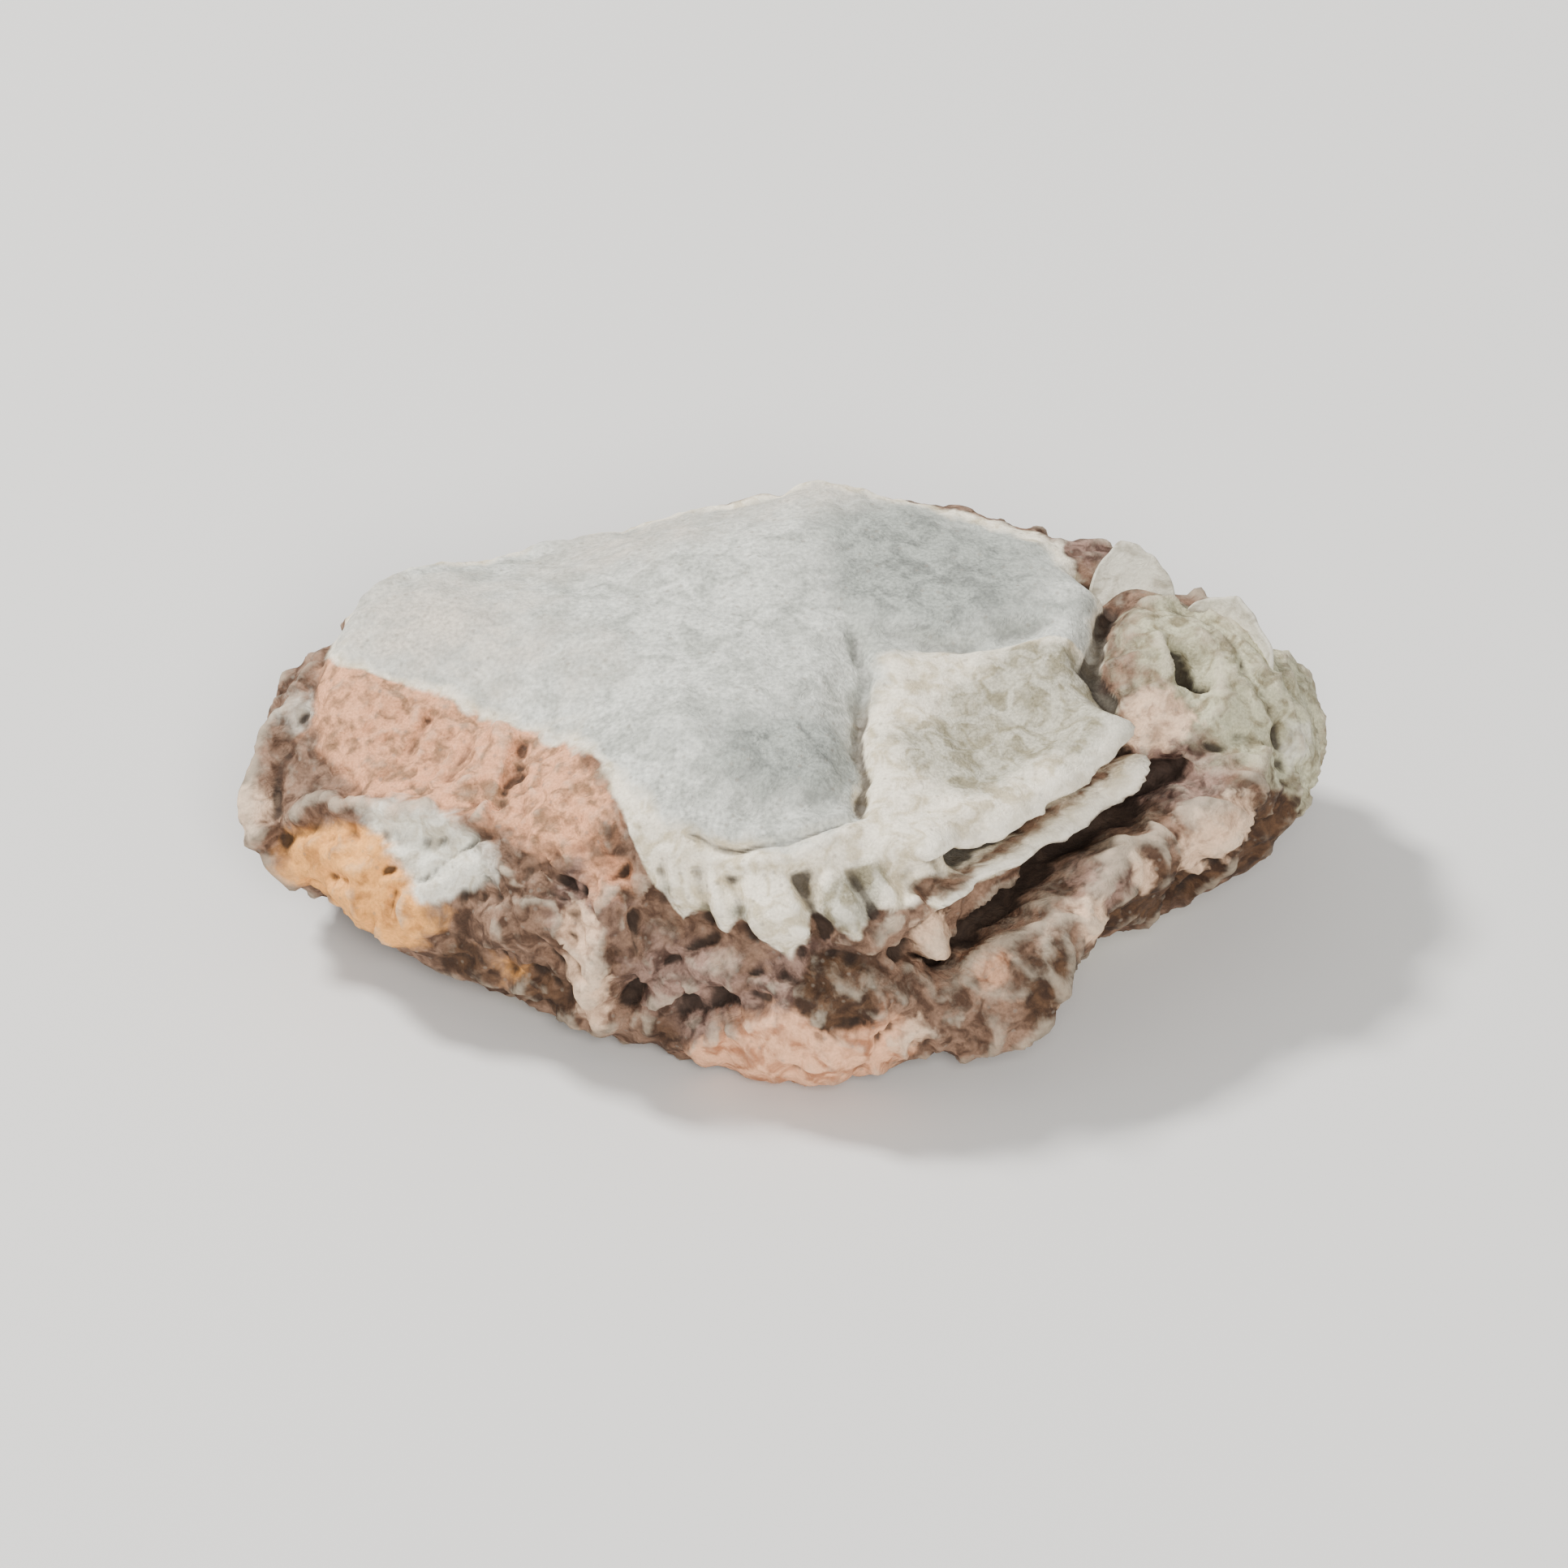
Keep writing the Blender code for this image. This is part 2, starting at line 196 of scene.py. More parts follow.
@dataclass
class SliceForm:
    """The slice's form as numbers: a smooth loft through rings, then swellings and creases."""

    length: float = 32.0
    width: float = 21.2
    thickness: float = 9.6
    face_edge: float = 0.33
    base_edge: float = 0.71
    flat_spot: float = 0.84
    least_clearance: float = 0.12
    end_lifts: tuple[float, float] = (0.4, 1.7)
    rows_packed_up: float = 0.35
    rind_fade: tuple[float, float] = (0.02, 0.10)
    resting_fade: tuple[float, float] = (-0.08, -0.04)
    swell_size: float = 4.2
    swell_height: float = 0.55
    wrinkle_size: float = 2.5
    wrinkle_height: float = 0.95
    wrinkle_level: float = 0.35
    wrinkle_floor: float = -0.45
    wrinkle_slant: float = 0.55
    wrinkle_shares: tuple[float, float] = (0.8, 0.2)
    wrinkle_shifts: tuple[float, float] = (19.0, 27.0)
    wrinkle_wander: float = 1.3
    wander_size: float = 3.2
    crest_rounding: float = 0.10
    pleat_top: float = 0.375
    pleat_width: float = 0.42
    pleat_crease: tuple[float, float] = (0.20, 0.2)
    pleat_leans: tuple[float, float] = (0.4, -0.5)
    calm: tuple[Lump, ...] = (
        Lump(268, 0.41, 3.4, 1.0), Lump(2, 0.43, 3.4, 0.85), Lump(210, 0.48, 3.2, 0.80),
        Lump(186, 0.46, 3.2, 0.90), Lump(272, 0.62, 2.4, 0.70), Lump(320, 0.42, 3.2, 0.75),
        Lump(300, 0.43, 2.4, 0.55),
    )
    wobble: tuple[tuple[float, float], ...] = ((1.7, 0.26), (0.60, 0.07))
    rings: tuple[Ring, ...] = (
        Ring(0.00, (-1.5, 1.0), 0.000, 0.00, 1.000),
        Ring(0.18, (-1.5, 1.0), 0.420, 0.52, 0.985),
        Ring(0.33, (-1.5, 0.9), 0.735, 0.84, 0.900, bulging=0.4),
        Ring(0.38, (-1.2, 0.7), 0.815, 0.92, 0.815, bulging=0.6),
        Ring(0.46, (-0.6, 0.3), 0.915, 0.98, 0.640, bulging=0.9),
        Ring(0.56, (0.0, 0.0), 0.985, 1.00, 0.400, bulging=1.0, lifted=0.3),
        Ring(0.66, (0.0, 0.0), 0.925, 0.94, 0.140, bulging=1.1, lifted=0.9),
        Ring(0.71, (0.0, 0.0), 0.830, 0.85, 0.040, bulging=1.0, lifted=0.8),
        Ring(0.84, (0.0, 0.0), 0.470, 0.52, 0.000),
        Ring(1.00, (0.0, 0.0), 0.000, 0.00, 0.000),
    )
    bulges: tuple[Bulge, ...] = (
        Bulge(218, 18, -0.05), Bulge(275, 16, 0.10), Bulge(322, 20, -0.15), Bulge(28, 18, 0.05),
        Bulge(62, 12, -0.04), Bulge(78, 9, 0.06), Bulge(106, 14, -0.07), Bulge(130, 20, -0.06),
        Bulge(185, 16, 0.02),
    )
    sags: dict[str, Lump] = field(default_factory=lambda: {
        "left_bevel": Lump(213, 0.33, 4.8, -2.1),
        "facet_sink": Lump(322, 0.26, 3.6, -0.9),
        "back_left_slope": Lump(121, 0.34, 4.8, -1.35),
    })
    lumps: dict[str, Lump] = field(default_factory=lambda: {
        "ochre_heel": Lump(212, 0.52, 2.0, 0.80),
        "pale_hollow": Lump(227, 0.43, 1.5, -0.80),
        "brown_hollow": Lump(244, 0.56, 1.7, -0.65),
        "front_lobe": Lump(262, 0.22, 3.4, 0.45),
        "amber_chin": Lump(272, 0.62, 1.9, 0.85),
        "end_knob": Lump(2, 0.415, 3.3, 1.20),
        "knob_pit": Lump(357, 0.375, 0.62, -0.95),
        "back_flap": Lump(38, 0.38, 1.5, 0.45),
        "back_dimple": Lump(97, 0.47, 2.4, -0.70),
        "back_lobe": Lump(70, 0.52, 2.4, 0.55),
        "root_scar": Lump(136, 0.50, 1.0, -0.70),
        "left_lobe": Lump(165, 0.50, 2.2, 0.45),
    })
    strokes: dict[str, Stroke] = field(default_factory=lambda: {
        "facet_crease": Stroke(((4, 0.09), (306, 0.157), (290, 0.28), (287, 0.34)), 0.75, -0.60),
        "cross_crease": Stroke(((4, 0.10), (352, 0.14), (358, 0.21), (8, 0.27)), 0.65, -0.40),
        "lobe_foot": Stroke(((286, 0.31), (278, 0.315), (268, 0.32)), 0.55, -0.40),
        "lip": Stroke(
            ((342, 0.345), (322, 0.354), (310, 0.363), (296, 0.373), (286, 0.378)), 0.62, 0.68
        ),
        "lip_gap": Stroke(((343, 0.38), (322, 0.39), (308, 0.40), (294, 0.41)), 0.60, -0.80),
        "rim_crevice": Stroke(
            ((342, 0.43), (332, 0.44), (318, 0.455), (305, 0.465), (293, 0.49), (284, 0.55)),
            0.75, -1.80,
        ),
        "rim_fold": Stroke(
            ((352, 0.49), (337, 0.51), (315, 0.505), (302, 0.545), (294, 0.60), (285, 0.65)),
            1.20, 1.20,
        ),
        "knob_gully": Stroke(
            ((32, 0.335), (18, 0.335), (6, 0.305), (354, 0.30), (345, 0.335), (336, 0.40)),
            0.70, -0.85,
        ),
        "left_slit": Stroke(((224, 0.25), (230, 0.32), (237, 0.40)), 0.60, -0.35),
        "left_crest": Stroke(((212, 0.21), (217, 0.27), (223, 0.35)), 0.65, 0.45),
        "heel_arc": Stroke(((196, 0.50), (201, 0.43), (210, 0.375), (222, 0.355)), 0.60, 0.50),
        "end_rim": Stroke(((176, 0.43), (184, 0.47), (191, 0.53), (200, 0.59)), 0.70, 0.45),
        "front_rib": Stroke(((250, 0.43), (249, 0.52), (247, 0.65)), 0.65, 0.60),
        "foot_crease": Stroke(((232, 0.57), (244, 0.62), (256, 0.60), (264, 0.55)), 0.60, -0.55),
        "purple_crease": Stroke(((256, 0.46), (266, 0.49), (277, 0.49), (287, 0.52)), 0.60, -0.80),
        "back_flap_edge": Stroke(((34, 0.37), (42, 0.40), (52, 0.40), (62, 0.37)), 0.60, 0.45),
        "back_flap_gap": Stroke(((30, 0.43), (40, 0.46), (52, 0.45), (64, 0.41)), 0.60, -0.90),
        "back_crevice": Stroke(((80, 0.42), (100, 0.50), (118, 0.52), (138, 0.44)), 0.65, -0.90),
        "back_fold": Stroke(((84, 0.58), (104, 0.59), (124, 0.60), (150, 0.57)), 1.00, 0.60),
        "left_back_crease": Stroke(((148, 0.40), (158, 0.48), (172, 0.55)), 0.60, -0.70),
    })
    pleats: tuple[tuple[float, float, float], ...] = (
        (257.6, 0.46, 0.35),
        (262.4, 0.48, 0.40),
        (266.8, 0.49, 0.60),
        (275.6, 0.48, 1.00),
        (281.8, 0.46, 0.45),
    )
    fine_strokes: dict[str, Stroke] = field(default_factory=lambda: {
        "lip_edge": Stroke(
            ((340, 0.352), (332, 0.358), (322, 0.365), (310, 0.374), (298, 0.384), (289, 0.386)),
            0.26, 0.34, 0.55,
        ),
        "lip_shadow": Stroke(
            ((343, 0.374), (322, 0.384), (308, 0.392), (296, 0.402)), 0.26, -0.55, -0.75
        ),
        "second_lip": Stroke(
            ((337, 0.392), (330, 0.410), (318, 0.422), (306, 0.426), (296, 0.434), (288, 0.45)),
            0.25, 0.32, 0.60,
        ),
        "crevice_floor": Stroke(
            ((344, 0.425), (330, 0.447), (316, 0.462), (303, 0.472), (293, 0.497), (286, 0.54)),
            0.34, -0.70, -0.40,
        ),
        "third_lip": Stroke(((306, 0.447), (298, 0.462), (291, 0.486), (285, 0.51)), 0.28, 0.34, 0.2),
        "crease_floor": Stroke(
            ((6, 0.085), (330, 0.115), (306, 0.160), (292, 0.27), (288, 0.335)), 0.20, -0.32
        ),
        "crease_line_back": Stroke(((30, 0.11), (58, 0.17), (69, 0.25), (74, 0.325)), 0.32, -0.10),
        "cross_floor": Stroke(((2, 0.105), (353, 0.145), (358, 0.205), (8, 0.26)), 0.22, -0.14),
        "facet_fold": Stroke(((330, 0.13), (318, 0.20), (312, 0.28), (309, 0.33)), 0.45, 0.10),
        "facet_pucker": Stroke(((340, 0.17), (334, 0.24), (332, 0.31)), 0.35, -0.10),
        "lobe_line": Stroke(
            ((288, 0.333), (280, 0.349), (275, 0.360), (268, 0.366), (262, 0.350)), 0.22, -0.34
        ),
        "lobe_lip": Stroke(((286, 0.352), (279, 0.368), (273, 0.380), (266, 0.380)), 0.26, 0.22),
        "slit_floor": Stroke(((217, 0.228), (228, 0.272), (234, 0.33), (238, 0.385)), 0.20, -0.14),
        "slit_crest": Stroke(((209, 0.222), (222, 0.272), (229, 0.345), (233, 0.40)), 0.24, 0.30),
        "pink_fold_a": Stroke(((233, 0.285), (241, 0.335), (248, 0.40)), 0.20, -0.22),
        "pink_fold_b": Stroke(((240, 0.285), (247, 0.335), (253, 0.40)), 0.20, 0.20),
        "pink_fold_c": Stroke(((227, 0.33), (236, 0.38), (243, 0.45)), 0.22, 0.24),
        "pink_fold_d": Stroke(((205, 0.245), (211, 0.290), (216, 0.33)), 0.20, 0.16),
        "pink_fold_e": Stroke(((196, 0.27), (203, 0.31), (208, 0.35)), 0.20, -0.18),
        "heel_line": Stroke(
            ((193, 0.56), (196, 0.50), (201, 0.43), (210, 0.375), (221, 0.352), (230, 0.350)),
            0.24, 0.32,
        ),
        "heel_ridge": Stroke(((199, 0.53), (206, 0.475), (214, 0.43)), 0.30, 0.20),
        "heel_fold": Stroke(((206, 0.54), (214, 0.49), (219, 0.44)), 0.26, -0.22),
        "end_line": Stroke(
            ((172, 0.39), (176, 0.426), (184, 0.472), (191, 0.53), (198, 0.577), (206, 0.61)),
            0.26, 0.34,
        ),
        "end_groove": Stroke(((180, 0.41), (188, 0.46), (194, 0.52), (200, 0.555)), 0.24, -0.26),
        "rib_edge": Stroke(((251, 0.42), (250, 0.50), (248, 0.58), (247, 0.65)), 0.24, 0.34),
        "rib_shadow": Stroke(((254, 0.46), (253, 0.54), (251, 0.62)), 0.26, -0.34),
        "gully_floor": Stroke(
            ((30, 0.333), (18, 0.334), (6, 0.305), (354, 0.300), (346, 0.332), (337, 0.395)),
            0.24, -0.40,
        ),
        "knob_pit": Stroke(((1, 0.362), (357, 0.378), (353, 0.394)), 0.26, -0.80),
        "pit_wall": Stroke(((3, 0.346), (357, 0.358), (352, 0.372)), 0.22, 0.34),
        "pit_edge": Stroke(((5, 0.372), (0, 0.392), (354, 0.406)), 0.18, 0.24),
        "pit_ray_a": Stroke(((8, 0.352), (14, 0.345)), 0.16, -0.20),
        "pit_ray_b": Stroke(((4, 0.342), (6, 0.328)), 0.16, -0.22),
        "pit_ray_c": Stroke(((358, 0.346), (357, 0.330)), 0.16, -0.22),
        "pit_ray_d": Stroke(((352, 0.358), (348, 0.346)), 0.16, -0.20),
        "knob_groove": Stroke(((12, 0.398), (5, 0.44), (1, 0.50)), 0.16, -0.20),
        "knob_edge": Stroke(((14, 0.345), (19, 0.378), (11, 0.417), (2, 0.46)), 0.24, 0.26),
        "knob_ring_a": Stroke(((15, 0.394), (3, 0.437), (358, 0.496), (353, 0.56)), 0.20, 0.20),
        "knob_ring_b": Stroke(((10, 0.374), (359, 0.411), (353, 0.465), (347, 0.51)), 0.20, 0.16),
        "knob_ring_gap": Stroke(((12, 0.384), (1, 0.424), (355, 0.48), (350, 0.535)), 0.20, -0.16),
        "fold_groove": Stroke(((346, 0.545), (330, 0.555), (312, 0.560), (301, 0.600)), 0.26, -0.34),
        "fold_edge": Stroke(
            ((350, 0.475), (338, 0.485), (322, 0.485), (308, 0.510), (299, 0.560), (291, 0.62)),
            0.26, 0.24,
        ),
        "plum_ridge_a": Stroke(((252, 0.64), (255, 0.59), (259, 0.55), (263, 0.52)), 0.26, 0.34),
        "plum_ridge_b": Stroke(((258, 0.66), (262, 0.62), (267, 0.585), (274, 0.555)), 0.26, 0.30),
        "plum_groove": Stroke(((255, 0.66), (258, 0.61), (263, 0.57), (269, 0.545)), 0.24, -0.36),
        "plum_crease": Stroke(((252, 0.60), (255, 0.55), (259, 0.51), (263, 0.485)), 0.24, -0.42),
        "pleat_crotch": Stroke(((265, 0.52), (270, 0.512), (275, 0.528)), 0.24, -0.36),
        "side_fold_a": Stroke(((279, 0.49), (283, 0.46), (288, 0.437)), 0.24, 0.28),
        "side_fold_b": Stroke(((282, 0.51), (286, 0.48), (291, 0.455)), 0.24, -0.34),
        "curl": Stroke(((288, 0.444), (288, 0.48), (287, 0.515)), 0.30, 0.34),
        "chin_groove": Stroke(((282, 0.56), (278, 0.60), (277, 0.66)), 0.26, -0.30),
        "chin_stripe": Stroke(((271, 0.595), (270, 0.65)), 0.26, -0.22),
        "chin_edge": Stroke(((262, 0.585), (270, 0.572), (277, 0.565)), 0.26, -0.26),
        "back_edge_nick_a": Stroke(((84, 0.325), (86, 0.37)), 0.30, -0.30),
        "back_edge_nick_b": Stroke(((108, 0.325), (110, 0.37)), 0.26, -0.26),
        "back_rim_line": Stroke(
            ((70, 0.348), (86, 0.352), (104, 0.356), (122, 0.354), (142, 0.352), (160, 0.358)),
            0.28, 0.22,
        ),
        "back_layer": Stroke(((28, 0.43), (42, 0.455), (56, 0.44), (68, 0.42)), 0.26, 0.36, 0.3),
        "back_layer_gap": Stroke(((30, 0.455), (44, 0.48), (58, 0.468)), 0.24, -0.42),
    })
    pleat_ridges: tuple[tuple[float, float, float, float], ...] = (
        (254.6, 0.450, 0.22, 0.16),
        (256.4, 0.440, 0.18, 0.12),
        (259.4, 0.475, 0.24, 0.20),
        (261.0, 0.440, 0.16, 0.10),
        (264.6, 0.480, 0.24, 0.18),
        (269.3, 0.470, 0.24, 0.12),
        (271.6, 0.500, 0.26, 0.14),
        (273.6, 0.470, 0.18, 0.14),
        (278.2, 0.470, 0.26, 0.06),
        (280.0, 0.440, 0.16, 0.12),
        (284.4, 0.450, 0.24, 0.20),
    )
    fine_calm: float = 0.50
    fine_level: float = 0.4
    fine_fade: tuple[float, float] = (1.6, 3.6)
    fine_rounding: float = 0.055
    fine_floor: float = -0.45
    fine_wrinkles: tuple[Wrinkles, ...] = (
        Wrinkles(1.20, 0.32, 41.0, 0.8),
        Wrinkles(0.62, 0.17, 53.0, 0.9),
        Wrinkles(0.34, 0.08, 67.0),
    )
    face_swell: Wrinkles = Wrinkles(2.10, 0.13, 83.0)
    face_grain: Wrinkles = Wrinkles(0.75, 0.09, 97.0)
    fine_grain: Wrinkles = Wrinkles(0.36, 0.03, 103.0)

    def outline_share(self, angles: np.ndarray) -> np.ndarray:
        """How far out the outline is at these angles, as a share of a plain oval."""
        share = np.ones_like(angles)
        for bulge in self.bulges:
            turn = np.degrees(np.angle(np.exp(1j * (angles - math.radians(bulge.angle)))))
            share += bulge.share * np.exp(-((turn / bulge.spread) ** 2))
        return share

    def ring_points(self, ring: Ring, angles: np.ndarray) -> np.ndarray:
        """The ring's points at these angles."""
        out = 1.0 + ring.bulging * (self.outline_share(angles) - 1.0)
        x = ring.middle[0] + ring.along * self.length / 2 * np.cos(angles) * out
        y = ring.middle[1] + ring.across * self.width / 2 * np.sin(angles) * out
        lift = np.where(np.cos(angles) < 0, *self.end_lifts) * np.cos(angles) ** 2
        z = ring.up * self.thickness + ring.lifted * lift
        return np.stack([x, y, z], axis=-1)

    def plain(self, angles: np.ndarray, stations: np.ndarray) -> np.ndarray:
        """Points on the slice before its creases.

        Args:
            angles: Angles in radians.
            stations: Stations from 0 to 1, one for each angle.

        Returns:
            One row of X, Y and Z for each place, in millimetres.
        """
        places = np.array([ring.station for ring in self.rings])
        rows = [self.ring_points(ring, angles) for ring in self.rings]
        # Past either pole the surface goes on down the opposite side, so it is smooth there.
        beyond = angles + math.pi
        first = self.ring_points(self.rings[1], beyond)
        last = self.ring_points(self.rings[-2], beyond)
        rows = [first, *rows, last]
        places = np.concatenate([[-places[1]], places, [2 - places[-2]]])
        slopes = [
            (after - before) / (places[i + 2] - places[i])
            for i, (before, after) in enumerate(zip(rows, rows[2:]))
        ]
        points = np.zeros(angles.shape + (3,))
        for i, (low, high) in enumerate(zip(rows[1:-2], rows[2:-1])):
            span = places[i + 2] - places[i + 1]
            share = ((stations - places[i + 1]) / span)[..., None]
            here = (share >= 0) & (share <= 1)
            run = (
                (1 + 2 * share) * (1 - share) ** 2 * low
                + share * (1 - share) ** 2 * span * slopes[i]
                + share**2 * (3 - 2 * share) * high
                + share**2 * (share - 1) * span * slopes[i + 1]
            )
            points = np.where(here, run, points)
        return points

    def place(self, angle: float, station: float) -> np.ndarray:
        """The point of the plain slice at one place."""
        return self.plain(np.array([math.radians(angle)]), np.array([station]))[0]

    def lump_field(self, points: np.ndarray, lumps: Iterable[Lump]) -> np.ndarray:
        """The sum of some lumps' heights at each point."""
        total = np.zeros(len(points))
        for lump in lumps:
            away = np.linalg.norm(points - self.place(lump.angle, lump.station), axis=1)
            total += lump.height * np.exp(-((away / lump.radius) ** 2))
        return total

    def stroke_share(self, points: np.ndarray, stroke: Stroke) -> np.ndarray:
        """How strongly a stroke acts at each point, from 0 to 1, with its ends run out."""
        knots = [self.place(angle, station) for angle, station in stroke.places]
        lengths = [np.linalg.norm(b - a) for a, b in zip(knots, knots[1:])]
        total = sum(lengths)
        nearest = np.full(len(points), np.inf)
        reach = np.zeros(len(points))
        for i, (start, end) in enumerate(zip(knots, knots[1:])):
            run = end - start
            share = np.clip((points - start) @ run / (run @ run), 0.0, 1.0)
            away = np.linalg.norm(points - start - share[:, None] * run, axis=1)
            closer = away < nearest
            nearest = np.where(closer, away, nearest)
            reach = np.where(closer, sum(lengths[:i]) + share * lengths[i], reach)
        first, full = STROKE_ENDS
        ends = np.minimum(reach, total - reach)
        ends = fade(ends, first * stroke.width, full * stroke.width)
        return ends * np.exp(-((nearest / stroke.width) ** 2))

    def pleat_strokes(self) -> list[Stroke]:
        """The short upright creases under the front of the face."""
        return [
            Stroke(((angle, self.pleat_top), (angle, foot)), self.pleat_width, -depth)
            for angle, foot, depth in self.pleats
        ]

    def fine_pleats(self) -> list[Stroke]:
        """A thin crease in the foot of each pleat, and the ridges between them."""
        wide, share = self.pleat_crease
        crease_lean, ridge_lean = self.pleat_leans
        creases = [
            Stroke(
                ((angle, 0.5 * (self.pleat_top + foot)), (angle + crease_lean, foot)),
                wide,
                -share * depth,
            )
            for angle, foot, depth in self.pleats
        ]
        ridges = [
            Stroke(((angle, self.pleat_top + 0.01), (angle + ridge_lean, foot)), width, height)
            for angle, foot, width, height in self.pleat_ridges
        ]
        return creases + ridges

    @staticmethod
    def crests(points: np.ndarray, size: float, shift: float, rounding: float) -> np.ndarray:
        """Crests where smooth noise passes through zero, rounded off by a share of it."""
        return 1.0 - CREST_FALL * np.hypot(noise_field(points, size, shift), rounding)

    def wandering(self, points: np.ndarray) -> np.ndarray:
        """The points moved about by slow noise, so that wrinkles on them meander."""
        shifts = (3.1, 7.7, 11.9)
        wander = [noise_field(points, self.wander_size, shift) for shift in shifts]
        return points + self.wrinkle_wander * np.stack(wander, axis=-1)

    def main_wrinkles(self, wandered: np.ndarray) -> np.ndarray:
        """The height of the rind's main wrinkles, up to nearly 1 on a crest."""
        stretched = wandered * np.array([1.0, 1.0, self.wrinkle_slant])
        sizes = (self.wrinkle_size, self.wrinkle_size / 2)
        layers = zip(self.wrinkle_shares, sizes, self.wrinkle_shifts)
        coarse, fine = (
            share * self.crests(stretched, size, shift, self.crest_rounding)
            for share, size, shift in layers
        )
        return np.maximum(coarse + fine, self.wrinkle_floor)

    def rind_share(self, stations: np.ndarray) -> np.ndarray:
        """1 on the rind and 0 on the upper cut face."""
        start, full = self.rind_fade
        return fade(stations, self.face_edge + start, self.face_edge + full)

    def calmness(self, points: np.ndarray) -> np.ndarray:
        """1 where the rind is free of its general wrinkles, and 0 where it has them all."""
        return np.minimum(self.lump_field(points, self.calm), 1.0)

    def coarse_lifts(
        self, points: np.ndarray, stations: np.ndarray, wandered: np.ndarray
    ) -> np.ndarray:
        """How far the main shapes lift each point of the plain slice along its normal."""
        lifts = self.lump_field(points, self.lumps.values())
        for stroke in (*self.strokes.values(), *self.pleat_strokes()):
            lifts += stroke.height * self.stroke_share(points, stroke)
        rind = self.rind_share(stations)
        wrinkled = rind * (1.0 - self.calmness(points))
        lifts += self.swell_height * (0.5 + rind) * noise_field(points, self.swell_size, 0.0)
        crests = self.main_wrinkles(wandered) - self.wrinkle_level
        return lifts + self.wrinkle_height * wrinkled * crests

    def wobbled(self, points: np.ndarray) -> np.ndarray:
        """The points shaken a little, so that lines drawn through them run unevenly."""
        moved = points.copy()
        for size, height in self.wobble:
            for axis, shift in enumerate((31.0, 37.0, 43.0)):
                moved[:, axis] += height * noise_field(points, size, shift)
        return moved

    def fine_lifts(
        self, points: np.ndarray, coarse: np.ndarray, skin: np.ndarray, spacing: np.ndarray
    ) -> np.ndarray:
        """How far the small shapes lift each point, which the plain solid leaves out.

        Args:
            points: The plain slice's points, shaken.
            coarse: Where the main shapes have moved them.
            skin: 1 where rind covers the slice and 0 on its cut faces.
            spacing: How far apart the mesh's points are there, at the widest.

        Returns:
            Heights in millimetres.
        """
        lifts = np.zeros(len(points))
        for stroke in (*self.fine_strokes.values(), *self.fine_pleats()):
            lifts += stroke.height * self.stroke_share(points, stroke)
        calm = 1.0 - self.fine_calm * self.calmness(points)
        wandered = self.wandering(coarse)
        for layer in self.fine_wrinkles:
            stretched = wandered * np.array([1.0, 1.0, layer.slant])
            heights = self.crests(stretched, layer.size, layer.shift, self.fine_rounding)
            heights = np.maximum(heights - self.fine_level, self.fine_floor)
            carried = fade(layer.size / spacing, *self.fine_fade)
            lifts += layer.height * skin * calm * carried * heights
        face = 1.0 - skin
        lifts += self.face_swell.height * face * self.face_swell.noise(wandered)
        lifts += self.face_grain.height * face * self.face_grain.noise(coarse)
        lifts += self.fine_grain.height * self.fine_grain.noise(coarse)
        return lifts

    def outward_pushes(self, points: np.ndarray) -> np.ndarray:
        """How far the thin edges are pushed level and away from the middle."""
        pushes = np.zeros(len(points))
        for stroke in self.fine_strokes.values():
            if stroke.outwards:
                pushes += stroke.outwards * self.stroke_share(points, stroke)
        return pushes

    def resting(self, stations: np.ndarray) -> np.ndarray:
        """1 on the flat spot that the slice lies on, and 0 up from the lower rind."""
        start, full = self.resting_fade
        return fade(stations, self.base_edge + start, self.flat_spot + full)

    def above_floor(self, points: np.ndarray, stations: np.ndarray) -> np.ndarray:
        """The points with the underside held clear of the floor round the flat spot."""
        floor = self.least_clearance * (1.0 - fade(stations, self.base_edge, self.flat_spot))
        lower = stations > 0.5
        held = points.copy()
        held[:, 2] = np.where(lower, np.maximum(points[:, 2], floor), points[:, 2])
        return held

    def carve_main(
        self, points: np.ndarray, normals: np.ndarray, stations: np.ndarray
    ) -> np.ndarray:
        """Moves the plain slice's points to the main shapes, which the plain solid has too.

        Args:
            points: The plain slice's points.
            normals: The plain slice's normals there.
            stations: The points' stations.

        Returns:
            The moved points, in millimetres.
        """
        lifts = self.coarse_lifts(points, stations, self.wandering(points))
        lifts *= 1.0 - self.resting(stations)
        carved = points + normals * lifts[:, None]
        carved[:, 2] += self.lump_field(points, self.sags.values())
        return self.above_floor(carved, stations)

    def carve_fine(
        self,
        points: np.ndarray,
        coarse: np.ndarray,
        normals: np.ndarray,
        stations: np.ndarray,
        skin: np.ndarray,
        spacing: np.ndarray,
    ) -> np.ndarray:
        """Adds the small shapes to the main ones.

        Args:
            points: The plain slice's points.
            coarse: Where the main shapes have moved them.
            normals: The normals of the main shapes.
            stations: The points' stations.
            skin: 1 where rind covers the slice and 0 on its cut faces.
            spacing: How far apart the mesh's points are there, at the widest.

        Returns:
            The moved points, in millimetres.
        """
        shaken = self.wobbled(points)
        free = 1.0 - self.resting(stations)
        lifts = self.fine_lifts(shaken, coarse, skin, spacing) * free
        carved = coarse + normals * lifts[:, None]
        level = points * np.array([1.0, 1.0, 0.0])
        level /= np.maximum(np.linalg.norm(level, axis=1), 1e-6)[:, None]
        carved += level * (self.outward_pushes(shaken) * free)[:, None]
        return self.above_floor(carved, stations)

    def fitted(self, points: np.ndarray, low: Vector, high: Vector) -> np.ndarray:
        """The points stretched to fill a box, all in millimetres."""
        least, most = points.min(axis=0), points.max(axis=0)
        share = (points - least) / (most - least)
        return np.array(low) + share * (np.array(high) - np.array(low))


